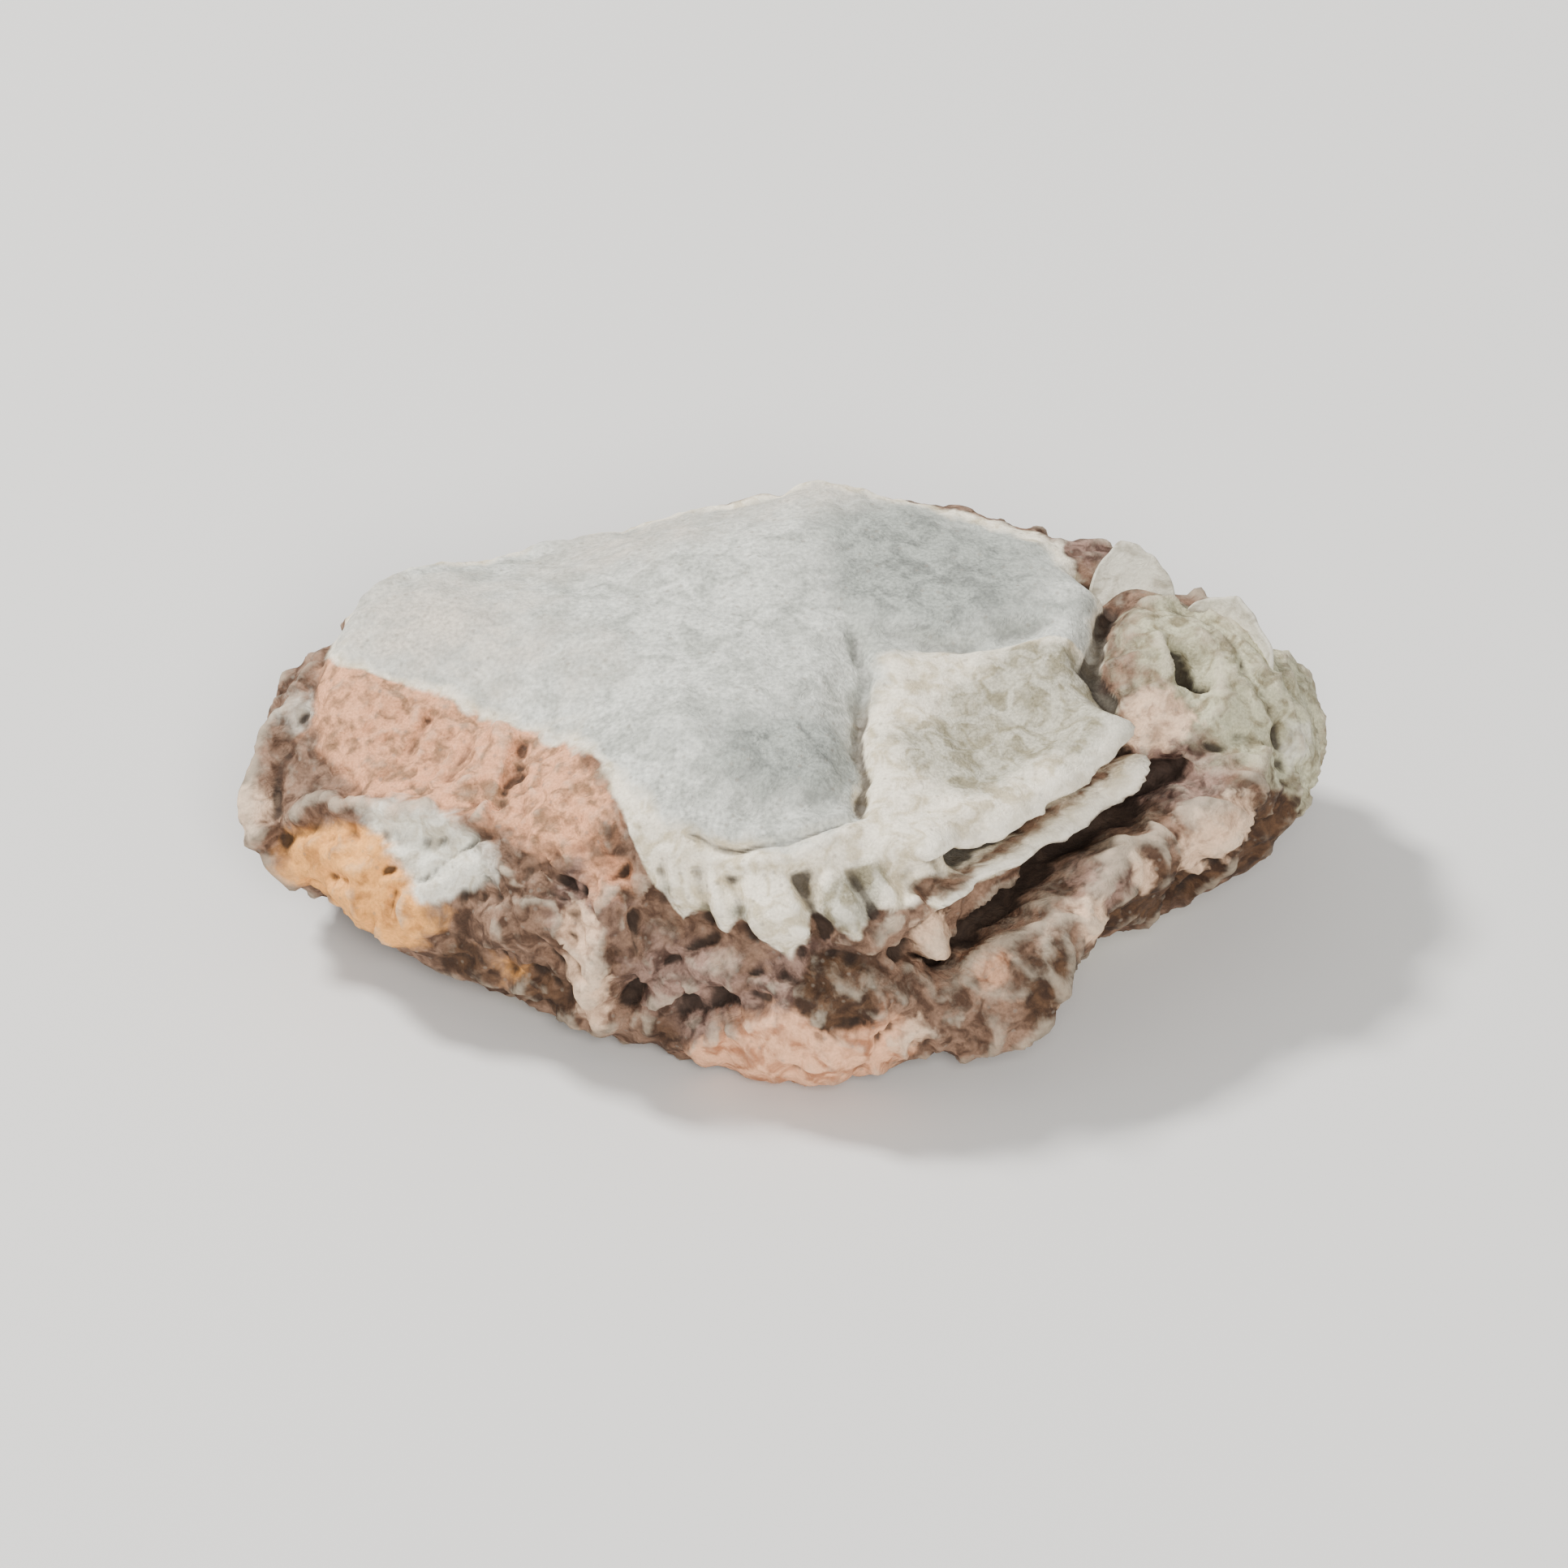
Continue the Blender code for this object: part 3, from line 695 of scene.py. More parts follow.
@dataclass(frozen=True)
class Rim:
    """A closed line round the slice: the station it runs at for some angles."""

    places: tuple[Place, ...]

    def station(self, angles: np.ndarray) -> np.ndarray:
        """The line's station at each angle, in degrees, joined smoothly."""
        turns = [angle for angle, _ in self.places]
        stations = [station for _, station in self.places]
        return np.interp(angles % 360, turns, stations, period=360)


@dataclass
class SurfaceMap:
    """Where each region of the surface lies, as masks on the slice's points."""

    form: SliceForm
    starch_rim: Rim = Rim(
        (
            (0, 0.290), (8, 0.300), (18, 0.315), (35, 0.325), (60, 0.328), (90, 0.335),
            (125, 0.340), (154, 0.345), (170, 0.365), (181, 0.314), (187, 0.273), (195, 0.238),
            (206, 0.214), (218, 0.204), (230, 0.208), (241, 0.236), (254, 0.302), (259, 0.335),
            (264, 0.354), (269, 0.365), (275, 0.360), (280, 0.350), (287, 0.332), (290, 0.275),
            (298, 0.205), (306, 0.155), (330, 0.125), (350, 0.14), (357, 0.21),
        )
    )
    cortex_rim: Rim = Rim(
        (
            (0, 0.305), (8, 0.312), (18, 0.328), (35, 0.340), (60, 0.350), (90, 0.355),
            (125, 0.358), (154, 0.362), (170, 0.380), (181, 0.326), (187, 0.286), (195, 0.251),
            (206, 0.225), (218, 0.214), (230, 0.219), (241, 0.248), (249, 0.298), (254, 0.348),
            (256, 0.405), (258.5, 0.462), (261, 0.445), (264, 0.478), (266.5, 0.455),
            (271, 0.502), (275.5, 0.455), (279, 0.472), (282, 0.442), (286, 0.448), (290, 0.425),
            (300, 0.412), (312, 0.402), (324, 0.392), (336, 0.378), (344, 0.345), (352, 0.305),
        )
    )
    starch_softness: float = 0.05
    cortex_softness: float = 0.035
    facet_edge: float = 0.350
    facet_softness: float = 0.05
    facet_inner: tuple[float, float] = (0.15, 0.25)
    facet_sides: tuple[float, float, float, float] = (292.0, 314.0, 352.0, 362.0)
    # Tan patches on the pleats' creases: partly the skin's olive tone, partly painted shade between
    # the folds.
    pleat_tan_and_shade: tuple[Lump, ...] = (
        Lump(279.5, 0.430, 0.9, 1.3), Lump(284.5, 0.400, 0.6, 0.7), Lump(267.0, 0.440, 0.45, 0.9),
        Lump(262.0, 0.450, 0.35, 0.9), Lump(258.0, 0.420, 0.35, 0.8), Lump(246.0, 0.285, 0.60, 0.6),
    )
    lower_starch: float = 0.765
    lower_cortex: float = 0.735
    strays: tuple[Wrinkles, Wrinkles] = (
        Wrinkles(2.4, 0.018, 113.0),
        Wrinkles(0.9, 0.010, 127.0),
    )
    patches: dict[Region, tuple[Lump, ...]] = field(default_factory=lambda: {
        Region.RUST: (
            Lump(186, 0.335, 2.0), Lump(197, 0.30, 2.2), Lump(210, 0.285, 2.2, 0.8),
            Lump(224, 0.265, 2.0, 0.8), Lump(238, 0.31, 1.7, 0.85), Lump(247, 0.35, 1.4, 0.68),
            Lump(251, 0.43, 1.1, 0.5),
        ),
        Region.OCHRE: (
            Lump(205, 0.545, 1.7, 1.0), Lump(213, 0.480, 1.7, 1.3), Lump(220, 0.545, 1.4, 0.8),
            Lump(236, 0.600, 1.4, 0.5),
        ),
        Region.PALE: (
            Lump(222, 0.40, 1.3, 1.1), Lump(225, 0.465, 1.0, 0.7), Lump(211, 0.385, 1.0, 0.6),
            Lump(180, 0.42, 1.1, 0.5), Lump(232, 0.42, 1.2, 0.5), Lump(358, 0.500, 1.3, 0.5),
        ),
        Region.AMBER: (
            Lump(270, 0.640, 2.1, 1.1), Lump(277, 0.610, 1.6, 1.0), Lump(337, 0.575, 1.1, 0.6),
            Lump(292, 0.545, 1.0, 0.5), Lump(262, 0.665, 1.2, 0.6),
        ),
        Region.KNOB: (
            Lump(4, 0.40, 3.0, 1.1), Lump(355, 0.49, 2.3, 0.9), Lump(14, 0.48, 2.6, 0.8),
        ),
        Region.WARM: (
            Lump(168, 0.27, 3.4, 0.8), Lump(110, 0.26, 3.6, 0.6), Lump(78, 0.31, 2.4, 0.6),
            Lump(200, 0.15, 2.6, 0.4),
        ),
        Region.GREY: (
            Lump(30, 0.19, 3.6, 1.1), Lump(55, 0.23, 2.6, 0.6), Lump(268, 0.22, 2.4, 0.5),
            Lump(284, 0.24, 1.8, 1.0),
        ),
        Region.PLUM: (
            Lump(339, 0.432, 1.3, 1.2), Lump(247, 0.44, 1.5, 0.8), Lump(258, 0.57, 2.2, 0.9),
            Lump(273, 0.535, 1.8, 1.0), Lump(312, 0.535, 2.2, 0.7), Lump(38, 0.36, 1.6, 0.8),
            Lump(120, 0.56, 3.0, 0.6),
        ),
        # Dark umber patches low round the rind: partly the skin's dark tone, partly painted shade of
        # the lower flank and under the pleats.
        Region.UMBER_AND_SHADE: (
            Lump(297, 0.580, 1.3, 1.0), Lump(312, 0.600, 1.8, 1.0), Lump(328, 0.605, 1.8, 1.0),
            Lump(345, 0.610, 1.8, 0.9), Lump(240, 0.630, 1.6, 0.7), Lump(228, 0.607, 1.2, 0.8),
            Lump(275, 0.530, 1.2, 1.3), Lump(256, 0.630, 1.2, 0.6), Lump(340, 0.590, 1.4, 1.1),
            Lump(320, 0.465, 1.0, 0.6), Lump(60, 0.560, 3.0, 0.6), Lump(170, 0.600, 2.6, 0.6),
        ),
        Region.BUFF: (
            Lump(247, 0.490, 0.8, 1.0), Lump(247, 0.560, 0.8, 1.1), Lump(247, 0.620, 0.7, 1.0),
            Lump(288, 0.480, 0.8, 1.0), Lump(331, 0.530, 1.0, 1.0), Lump(318, 0.520, 0.7, 0.8),
            Lump(305, 0.530, 0.7, 0.9), Lump(299, 0.600, 0.8, 0.8), Lump(338, 0.512, 0.7, 0.8),
            Lump(345, 0.380, 1.2, 0.9), Lump(191, 0.520, 1.0, 0.7), Lump(281, 0.600, 0.8, 0.8),
            Lump(90, 0.480, 2.0, 0.6),
        ),
    })

    def ragged(self, points: np.ndarray) -> np.ndarray:
        """How far the cut faces' edges stray at each point, in stations."""
        slow, quick = self.strays
        return slow.height * slow.noise(points) + quick.height * quick.noise(points)

    @staticmethod
    def _both_faces(
        stations: np.ndarray, upper_rim: np.ndarray, lower_rim: float, softness: float
    ) -> np.ndarray:
        """1 inside the upper rim and inside the lower one, and 0.5 along each."""
        upper = 0.5 + (upper_rim - stations) / softness
        lower = 0.5 + (stations - lower_rim) / softness
        return np.clip(np.maximum(upper, lower), 0.0, 1.0)

    def starch(self, angles: np.ndarray, stations: np.ndarray) -> np.ndarray:
        """Where the two cut faces show their grey starch, 0.5 along their edges."""
        rim = self.starch_rim.station(angles)
        return self._both_faces(stations, rim, self.lower_starch, self.starch_softness)

    def cortex(self, angles: np.ndarray, stations: np.ndarray) -> np.ndarray:
        """Where the cream ring inside the rind shows, 0.5 along its outer edge."""
        rim = self.cortex_rim.station(angles)
        return self._both_faces(stations, rim, self.lower_cortex, self.cortex_softness)

    def facet(self, angles: np.ndarray, stations: np.ndarray) -> np.ndarray:
        """Where the sunken tan facet shows, short of the folded lip along its edge."""
        first, full, last, end = self.facet_sides
        turns = angles % 360
        turns = np.where(turns < 90, turns + 360, turns)
        inside = fade(turns, first, full) * (1.0 - fade(turns, last, end))
        inside *= fade(stations, *self.facet_inner)
        short_of_lip = 0.5 + (self.facet_edge - stations) / self.facet_softness
        return inside * np.clip(short_of_lip, 0.0, 1.0)

    def masks(
        self, points: np.ndarray, angles: np.ndarray, stations: np.ndarray
    ) -> dict[Region, np.ndarray]:
        """All the masks that follow from places alone.

        Args:
            points: The plain slice's points.
            angles: Their angles, in degrees.
            stations: Their stations.

        Returns:
            A number from 0 to 1 for each point, for each region.
        """
        strayed = stations + self.ragged(points)
        second_lip = self.form.stroke_share(points, self.form.fine_strokes["second_lip"])
        # The facet's tan also lies in the pleat creases, partly as painted shade.
        tan = self.form.lump_field(points, self.pleat_tan_and_shade)
        found = {
            Region.STARCH: self.starch(angles, strayed),
            Region.CORTEX: np.maximum(self.cortex(angles, strayed), second_lip),
            Region.FACET: np.clip(np.maximum(self.facet(angles, strayed), tan), 0.0, 1.0),
        }
        for region, lumps in self.patches.items():
            found[region] = np.clip(self.form.lump_field(points, lumps), 0.0, 1.0)
        return found


@dataclass
class MeshRelief:
    """How far each point of a mesh stands out from its surroundings."""

    mesh: bpy.types.Mesh

    def points(self) -> np.ndarray:
        """The mesh's points, one row each."""
        flat = np.zeros(len(self.mesh.vertices) * 3)
        self.mesh.vertices.foreach_get("co", flat)
        return flat.reshape(-1, 3)

    def normals(self) -> np.ndarray:
        """The mesh's point normals, one row each."""
        flat = np.zeros(len(self.mesh.vertices) * 3)
        self.mesh.vertices.foreach_get("normal", flat)
        return flat.reshape(-1, 3)

    def edge_ends(self) -> tuple[np.ndarray, np.ndarray]:
        """The points at the first and at the second end of every edge."""
        ends = np.zeros(len(self.mesh.edges) * 2, dtype=np.int64)
        self.mesh.edges.foreach_get("vertices", ends)
        first, second = ends.reshape(-1, 2).T
        return first, second

    def spacing(self) -> np.ndarray:
        """The length of the longest edge at each point."""
        first, second = self.edge_ends()
        points = self.points()
        lengths = np.linalg.norm(points[first] - points[second], axis=1)
        longest = np.zeros(len(points))
        np.maximum.at(longest, first, lengths)
        np.maximum.at(longest, second, lengths)
        return longest

    def smoothed(self, values: np.ndarray, rounds: int) -> np.ndarray:
        """Values after each has moved half way to its neighbours' mean, some times.

        Args:
            values: One row for each point of the mesh.
            rounds: How many times they move.

        Returns:
            The moved values.
        """
        first, second = self.edge_ends()
        count = len(values)
        shares = np.bincount(first, minlength=count) + np.bincount(second, minlength=count)
        for _ in range(rounds):
            columns = [
                np.bincount(first, column[second], count)
                + np.bincount(second, column[first], count)
                for column in values.T
            ]
            values = 0.5 * values + 0.5 * np.stack(columns, axis=-1) / shares[:, None]
        return values

    def height(self, rounds: int, full: float) -> np.ndarray:
        """How far each point stands out from the smoothed mesh, where full mm counts as 1."""
        points = self.points()
        away = points - self.smoothed(points, rounds)
        heights = np.einsum("ij,ij->i", away, self.normals()) / (full * MM)
        return self.smoothed(heights[:, None], 2)[:, 0]


def deselect_all() -> None:
    """Leaves nothing selected, so that an operator acts on the new piece alone."""
    if bpy.context.object and bpy.context.object.mode != "OBJECT":
        bpy.ops.object.mode_set(mode="OBJECT")
    bpy.ops.object.select_all(action="DESELECT")


def set_points(piece: bpy.types.Object, points: np.ndarray) -> None:
    """Moves a mesh's points."""
    piece.data.vertices.foreach_set("co", points.ravel())
    piece.data.update()


def apply_modifier(piece: bpy.types.Object, modifier: bpy.types.Modifier) -> None:
    """Applies a modifier to a piece that is active."""
    bpy.context.view_layer.objects.active = piece
    bpy.ops.object.modifier_apply(modifier=modifier.name)


@dataclass
class GridBlock:
    """A cube cut into even squares: a grid above, a grid below, and rows down the sides.

    The cuts of each axis are made in two goes, a few wide ones and then more in each.
    """

    cuts_along: tuple[int, int] = (11, 15)
    cuts_across: tuple[int, int] = (7, 15)
    cuts_down: tuple[int, int] = (5, 12)
    straight: float = 0.99

    def _cut(self, axis: int, cuts: int) -> None:
        """Cuts every edge that runs along one axis of the block in edit mode."""
        bpy.ops.mesh.select_all(action="DESELECT")
        data = bpy.context.edit_object.data
        shape = bmesh.from_edit_mesh(data)
        for edge in shape.edges:
            run = edge.verts[1].co - edge.verts[0].co
            if abs(run[axis]) > self.straight * run.length:
                edge.select_set(True)
        bmesh.update_edit_mesh(data)
        bpy.ops.mesh.subdivide(number_cuts=cuts)

    def build(self, name: str) -> bpy.types.Object:
        """Adds the block.

        Args:
            name: The object's name.

        Returns:
            The block's object, active and the only one selected.
        """
        deselect_all()
        bpy.ops.mesh.primitive_cube_add(size=2.0, location=(0.0, 0.0, 0.0))
        block = bpy.context.object
        block.name = name
        block.data.name = name
        bpy.ops.object.mode_set(mode="EDIT")
        bpy.ops.mesh.select_mode(type="EDGE")
        for axis, rounds in enumerate((self.cuts_along, self.cuts_across, self.cuts_down)):
            for cuts in rounds:
                self._cut(axis, cuts)
        bpy.ops.object.mode_set(mode="OBJECT")
        return block


Socket = bpy.types.NodeSocket
NodeInput = float | tuple[float, ...] | Socket
Colour = tuple[float, float, float, float]

FLOAT = "NodeSocketFloat"
VECTOR = "NodeSocketVector"
COLOUR = "NodeSocketColor"
SHADER = "Principled BSDF"


def linear(red: int, green: int, blue: int) -> Colour:
    """A colour as shader nodes want it, from how it looks on a screen, 0 to 255."""
    shares = [value / 255 for value in (red, green, blue)]
    out = [s / 12.92 if s <= 0.04045 else ((s + 0.055) / 1.055) ** 2.4 for s in shares]
    return (out[0], out[1], out[2], 1.0)


class NodeSheet:
    """Adds nodes to a material or a node group, and joins them."""

    def __init__(self, tree: bpy.types.NodeTree) -> None:
        """Keeps the tree that the nodes are added to."""
        self.tree = tree

    def join(self, node: bpy.types.Node, inputs: dict[str | int, NodeInput]) -> None:
        """Gives a node's inputs their values, or joins them to the sockets given."""
        for key, value in inputs.items():
            if isinstance(value, Socket):
                self.tree.links.new(value, node.inputs[key])
            else:
                node.inputs[key].default_value = value

    def add(
        self, kind: str, inputs: dict[str | int, NodeInput] | None = None, **settings: object
    ) -> bpy.types.Node:
        """Adds one node.

        Args:
            kind: The node's Blender type name.
            inputs: A value, or the socket it is joined to, for each input's name or index.
            **settings: The node's own settings.

        Returns:
            The new node.
        """
        node = self.tree.nodes.new(kind)
        for name, value in settings.items():
            setattr(node, name, value)
        self.join(node, inputs or {})
        return node

    def group(
        self, tree: bpy.types.NodeTree, inputs: dict[str | int, NodeInput]
    ) -> Socket:
        """Places a node group with its own values, and gives its one output."""
        return self.add("ShaderNodeGroup", inputs, node_tree=tree).outputs[0]

    def millimetres(self) -> Socket:
        """The place on the object, in millimetres."""
        place = self.add("ShaderNodeTexCoord").outputs["Object"]
        inputs = {"Vector": place, "Scale": (1.0 / MM, 1.0 / MM, 1.0 / MM)}
        return self.add("ShaderNodeMapping", inputs).outputs["Vector"]

    def upwards(self) -> Socket:
        """How much the surface looks up, from 0 on a wall to 1 on a level place."""
        normal = self.add("ShaderNodeTexCoord").outputs["Normal"]
        parts = self.add("ShaderNodeSeparateXYZ", {0: normal})
        return self.math("MAXIMUM", parts.outputs["Z"], 0.0)

    def attribute(self, region: Region) -> Socket:
        """A region's mask, as the mesh keeps it."""
        return self.add("ShaderNodeAttribute", attribute_name=region.value).outputs["Fac"]

    def math(
        self, operation: str, first: NodeInput, second: NodeInput = 0.0, clamp: bool = False
    ) -> Socket:
        """One sum, product or other operation on two numbers."""
        inputs = {0: first, 1: second}
        node = self.add("ShaderNodeMath", inputs, operation=operation, use_clamp=clamp)
        return node.outputs[0]

    def fade(self, value: NodeInput, start: NodeInput, end: NodeInput) -> Socket:
        """A smooth step from 0 at start to 1 at end."""
        inputs = {"Value": value, "From Min": start, "From Max": end}
        node = self.add("ShaderNodeMapRange", inputs, interpolation_type="SMOOTHSTEP")
        return node.outputs["Result"]

    def swing(self, value: NodeInput, amount: NodeInput) -> Socket:
        """Noise from 0 to 1 turned into a swing about 0, times an amount."""
        return self.math("MULTIPLY", self.math("SUBTRACT", value, 0.5), amount)

    def mix(self, share: NodeInput, first: NodeInput, second: NodeInput) -> Socket:
        """Two colours mixed by a share."""
        inputs = {0: share, 6: first, 7: second}
        return self.add("ShaderNodeMix", inputs, data_type="RGBA").outputs[2]

    def mix_numbers(self, share: NodeInput, first: NodeInput, second: NodeInput) -> Socket:
        """Two numbers mixed by a share."""
        inputs = {0: share, 2: first, 3: second}
        return self.add("ShaderNodeMix", inputs, data_type="FLOAT").outputs[0]

    def noise(
        self, place: NodeInput, scale: NodeInput, detail: float, warp: float = 0.0
    ) -> Socket:
        """Smooth noise from 0 to 1 at a place."""
        inputs = {"Vector": place, "Scale": scale, "Detail": detail, "Distortion": warp}
        return self.add("ShaderNodeTexNoise", inputs).outputs["Fac"]


def new_material(name: str) -> tuple[bpy.types.Material, NodeSheet]:
    """A new material with its plain shader, and the sheet that nodes are added to."""
    material = bpy.data.materials.new(name)
    material.use_nodes = True
    return material, NodeSheet(material.node_tree)


@dataclass(frozen=True)
class MottledFinish:
    """Two colours that lie in patches.

    The scale is the patches' number to a millimetre, the share is how much the other colour
    takes, and the speckle is how far a finer unevenness changes how light they are.
    """

    main: Colour
    other: Colour
    scale: float
    share: float
    speckle: float
    roughness: float


@dataclass(frozen=True)
class Tooth:
    """A material's fine relief: its grain and its fibres in millimetres, and its strength."""

    grain: float
    fibre: float
    strength: float


@dataclass
class SharedEffects:
    """The node groups, built once, that the materials place with their own values.

    The slice's material uses all of them, and the flakes' the mottle and the crumb.
    """

    finer: float = 7.0
    patch_fade: tuple[float, float] = (0.36, 0.64)
    dust_fade: tuple[float, float] = (0.86, 1.40)
    gloss: float = 0.25
    broken_edge: bpy.types.NodeTree = field(init=False)
    mottle: bpy.types.NodeTree = field(init=False)
    dust: bpy.types.NodeTree = field(init=False)
    crumb: bpy.types.NodeTree = field(init=False)

    def __post_init__(self) -> None:
        """Builds the groups once."""
        self.broken_edge = self._broken_edge()
        self.mottle = self._mottle()
        self.dust = self._dust()
        self.crumb = self._crumb()

    def mottled(self, sheet: NodeSheet, finish: MottledFinish, place: Socket) -> Socket:
        """One finish's colour at a place."""
        inputs = {
            "Main": finish.main,
            "Other": finish.other,
            "Place": place,
            "Scale": finish.scale,
            "Share": finish.share,
            "Speckle": finish.speckle,
        }
        return sheet.group(self.mottle, inputs)

    def dress(
        self,
        sheet: NodeSheet,
        place: Socket,
        colour: Socket,
        roughness: NodeInput,
        tooth: Tooth,
    ) -> None:
        """Joins a material's colour, roughness and fine tooth to its shader."""
        relief = {"Place": place, "Grain": tooth.grain, "Fibre": tooth.fibre}
        height = sheet.group(self.crumb, relief)
        heights = {"Strength": tooth.strength, "Distance": MM, "Height": height}
        inputs = {
            "Base Color": colour,
            "Roughness": roughness,
            "Specular IOR Level": self.gloss,
            "Normal": sheet.add("ShaderNodeBump", heights).outputs["Normal"],
        }
        sheet.join(sheet.tree.nodes[SHADER], inputs)

    @staticmethod
    def _new(
        name: str, inputs: dict[str, str], outputs: dict[str, str]
    ) -> tuple[NodeSheet, dict[str, Socket]]:
        """An empty group with named sockets, and the values that come in by them."""
        tree = bpy.data.node_groups.new(name, "ShaderNodeTree")
        for way, sockets in (("INPUT", inputs), ("OUTPUT", outputs)):
            for label, kind in sockets.items():
                tree.interface.new_socket(name=label, in_out=way, socket_type=kind)
        sheet = NodeSheet(tree)
        given = sheet.add("NodeGroupInput").outputs
        return sheet, {label: given[label] for label in inputs}

    def _broken_edge(self) -> bpy.types.NodeTree:
        """Turns a soft mask into one with an irregular edge, as dried skin has."""
        numbers = dict.fromkeys(("Mask", "Scale", "Raggedness", "Softness"), FLOAT)
        sheet, given = self._new("Broken edge", {**numbers, "Place": VECTOR}, {"Mask": FLOAT})
        ragged = sheet.noise(given["Place"], given["Scale"], detail=5.0, warp=0.6)
        moved = sheet.math("ADD", given["Mask"], sheet.swing(ragged, given["Raggedness"]))
        low = sheet.math("SUBTRACT", 0.5, given["Softness"])
        high = sheet.math("ADD", 0.5, given["Softness"])
        sheet.add("NodeGroupOutput", {"Mask": sheet.fade(moved, low, high)})
        return sheet.tree

    def _mottle(self) -> bpy.types.NodeTree:
        """Mixes two colours in uneven patches, and adds a finer unevenness."""
        inputs = {
            **dict.fromkeys(("Main", "Other"), COLOUR),
            "Place": VECTOR,
            **dict.fromkeys(("Scale", "Share", "Speckle"), FLOAT),
        }
        sheet, given = self._new("Mottle", inputs, {"Color": COLOUR})
        place, scale = given["Place"], given["Scale"]
        patches = sheet.noise(place, scale, detail=6.0, warp=0.9)
        biased = sheet.math("ADD", patches, sheet.math("SUBTRACT", given["Share"], 0.5))
        colour = sheet.mix(sheet.fade(biased, *self.patch_fade), given["Main"], given["Other"])
        finer = sheet.noise(place, sheet.math("MULTIPLY", scale, self.finer), detail=4.0)
        value = sheet.math("ADD", 1.0, sheet.swing(finer, given["Speckle"]))
        toned = sheet.add("ShaderNodeHueSaturation", {"Value": value, "Color": colour})
        sheet.add("NodeGroupOutput", {"Color": toned.outputs["Color"]})
        return sheet.tree

    def _dust(self) -> bpy.types.NodeTree:
        """Lays pale starch dust where the surface looks up and on its crests."""
        inputs = {
            **dict.fromkeys(("Color", "Dust"), COLOUR),
            "Place": VECTOR,
            **dict.fromkeys(("Facing", "Crest", "Amount"), FLOAT),
        }
        sheet, given = self._new("Starch dust", inputs, {"Color": COLOUR})
        clouds = sheet.noise(given["Place"], 2.2, detail=6.0, warp=0.6)
        grains = sheet.noise(given["Place"], 6.0, detail=3.0)
        lying = sheet.math("MULTIPLY", given["Facing"], 0.25)
        raised = sheet.math("MULTIPLY", given["Crest"], 0.45)
        total = sheet.math("ADD", sheet.math("ADD", lying, raised), clouds)
        total = sheet.math("ADD", total, sheet.math("MULTIPLY", grains, 0.35))
        thick = sheet.fade(total, *self.dust_fade)
        mask = sheet.math("MULTIPLY", thick, given["Amount"], clamp=True)
        colour = sheet.mix(mask, given["Color"], given["Dust"])
        sheet.add("NodeGroupOutput", {"Color": colour})
        return sheet.tree

    def _crumb(self) -> bpy.types.NodeTree:
        """The fine tooth of dried starch and skin, as a height in millimetres."""
        inputs = {"Place": VECTOR, "Grain": FLOAT, "Fibre": FLOAT}
        sheet, given = self._new("Crumb", inputs, {"Height": FLOAT})
        grain = sheet.noise(given["Place"], 7.0, detail=6.0)
        fibres = sheet.noise(given["Place"], 2.6, detail=7.0, warp=1.6)
        ridges = sheet.math("ABSOLUTE", sheet.math("SUBTRACT", fibres, 0.5))
        grains = sheet.math("MULTIPLY", grain, given["Grain"])
        height = sheet.math("ADD", grains, sheet.math("MULTIPLY", ridges, given["Fibre"]))
        sheet.add("NodeGroupOutput", {"Height": height})
        return sheet.tree


STARCH = MottledFinish(linear(211, 212, 203), linear(178, 180, 171), 1.0, 0.48, 1.40, 0.93)
WARM_STARCH = MottledFinish(linear(214, 204, 188), linear(188, 182, 170), 1.1, 0.48, 1.30, 0.93)
GREY_STARCH = MottledFinish(linear(166, 170, 162), linear(132, 135, 129), 1.3, 0.46, 1.40, 0.93)
CREAM = MottledFinish(linear(252, 242, 220), linear(208, 194, 164), 1.6, 0.45, 0.75, 0.88)
FACET = MottledFinish(linear(194, 189, 170), linear(146, 138, 114), 1.6, 0.48, 1.20, 0.90)
RIND = MottledFinish(linear(142, 112, 92), linear(80, 58, 45), 1.5, 0.50, 0.90, 0.82)
RUST = MottledFinish(linear(230, 166, 126), linear(148, 112, 84), 1.8, 0.46, 1.10, 0.88)
OCHRE = MottledFinish(linear(250, 178, 98), linear(194, 132, 70), 1.4, 0.43, 0.80, 0.72)
PALE = MottledFinish(linear(242, 239, 224), linear(196, 186, 165), 1.4, 0.43, 0.70, 0.92)
AMBER = MottledFinish(linear(244, 186, 146), linear(176, 118, 84), 1.5, 0.46, 0.60, 0.62)
KNOB = MottledFinish(linear(194, 190, 160), linear(134, 124, 97), 1.6, 0.46, 0.95, 0.84)
PLUM = MottledFinish(linear(154, 124, 110), linear(80, 59, 51), 1.8, 0.50, 0.80, 0.80)
# Dark umber: partly the skin's own tone, partly painted shade low on the rind.
UMBER_AND_SHADE = MottledFinish(linear(94, 68, 48), linear(58, 40, 29), 1.6, 0.50, 0.80, 0.80)
BUFF = MottledFinish(linear(230, 194, 162), linear(172, 140, 116), 1.8, 0.42, 0.60, 0.86)
PAPERY = MottledFinish(linear(214, 209, 192), linear(164, 156, 138), 1.6, 0.42, 0.45, 0.84)
# Painted shade, laid into the crevices.
CREVICE_SHADE = linear(42, 32, 26)
DARK_SPECK = linear(138, 128, 116)
# Pale starch dust, also the wear and painted highlight on the rind's crests.
PALE_DUST_AND_HIGHLIGHT = linear(216, 201, 178)
# The cut faces' crests: their pale cream rim with a painted highlight.
FLESH_EDGE_AND_HIGHLIGHT = linear(250, 244, 228)


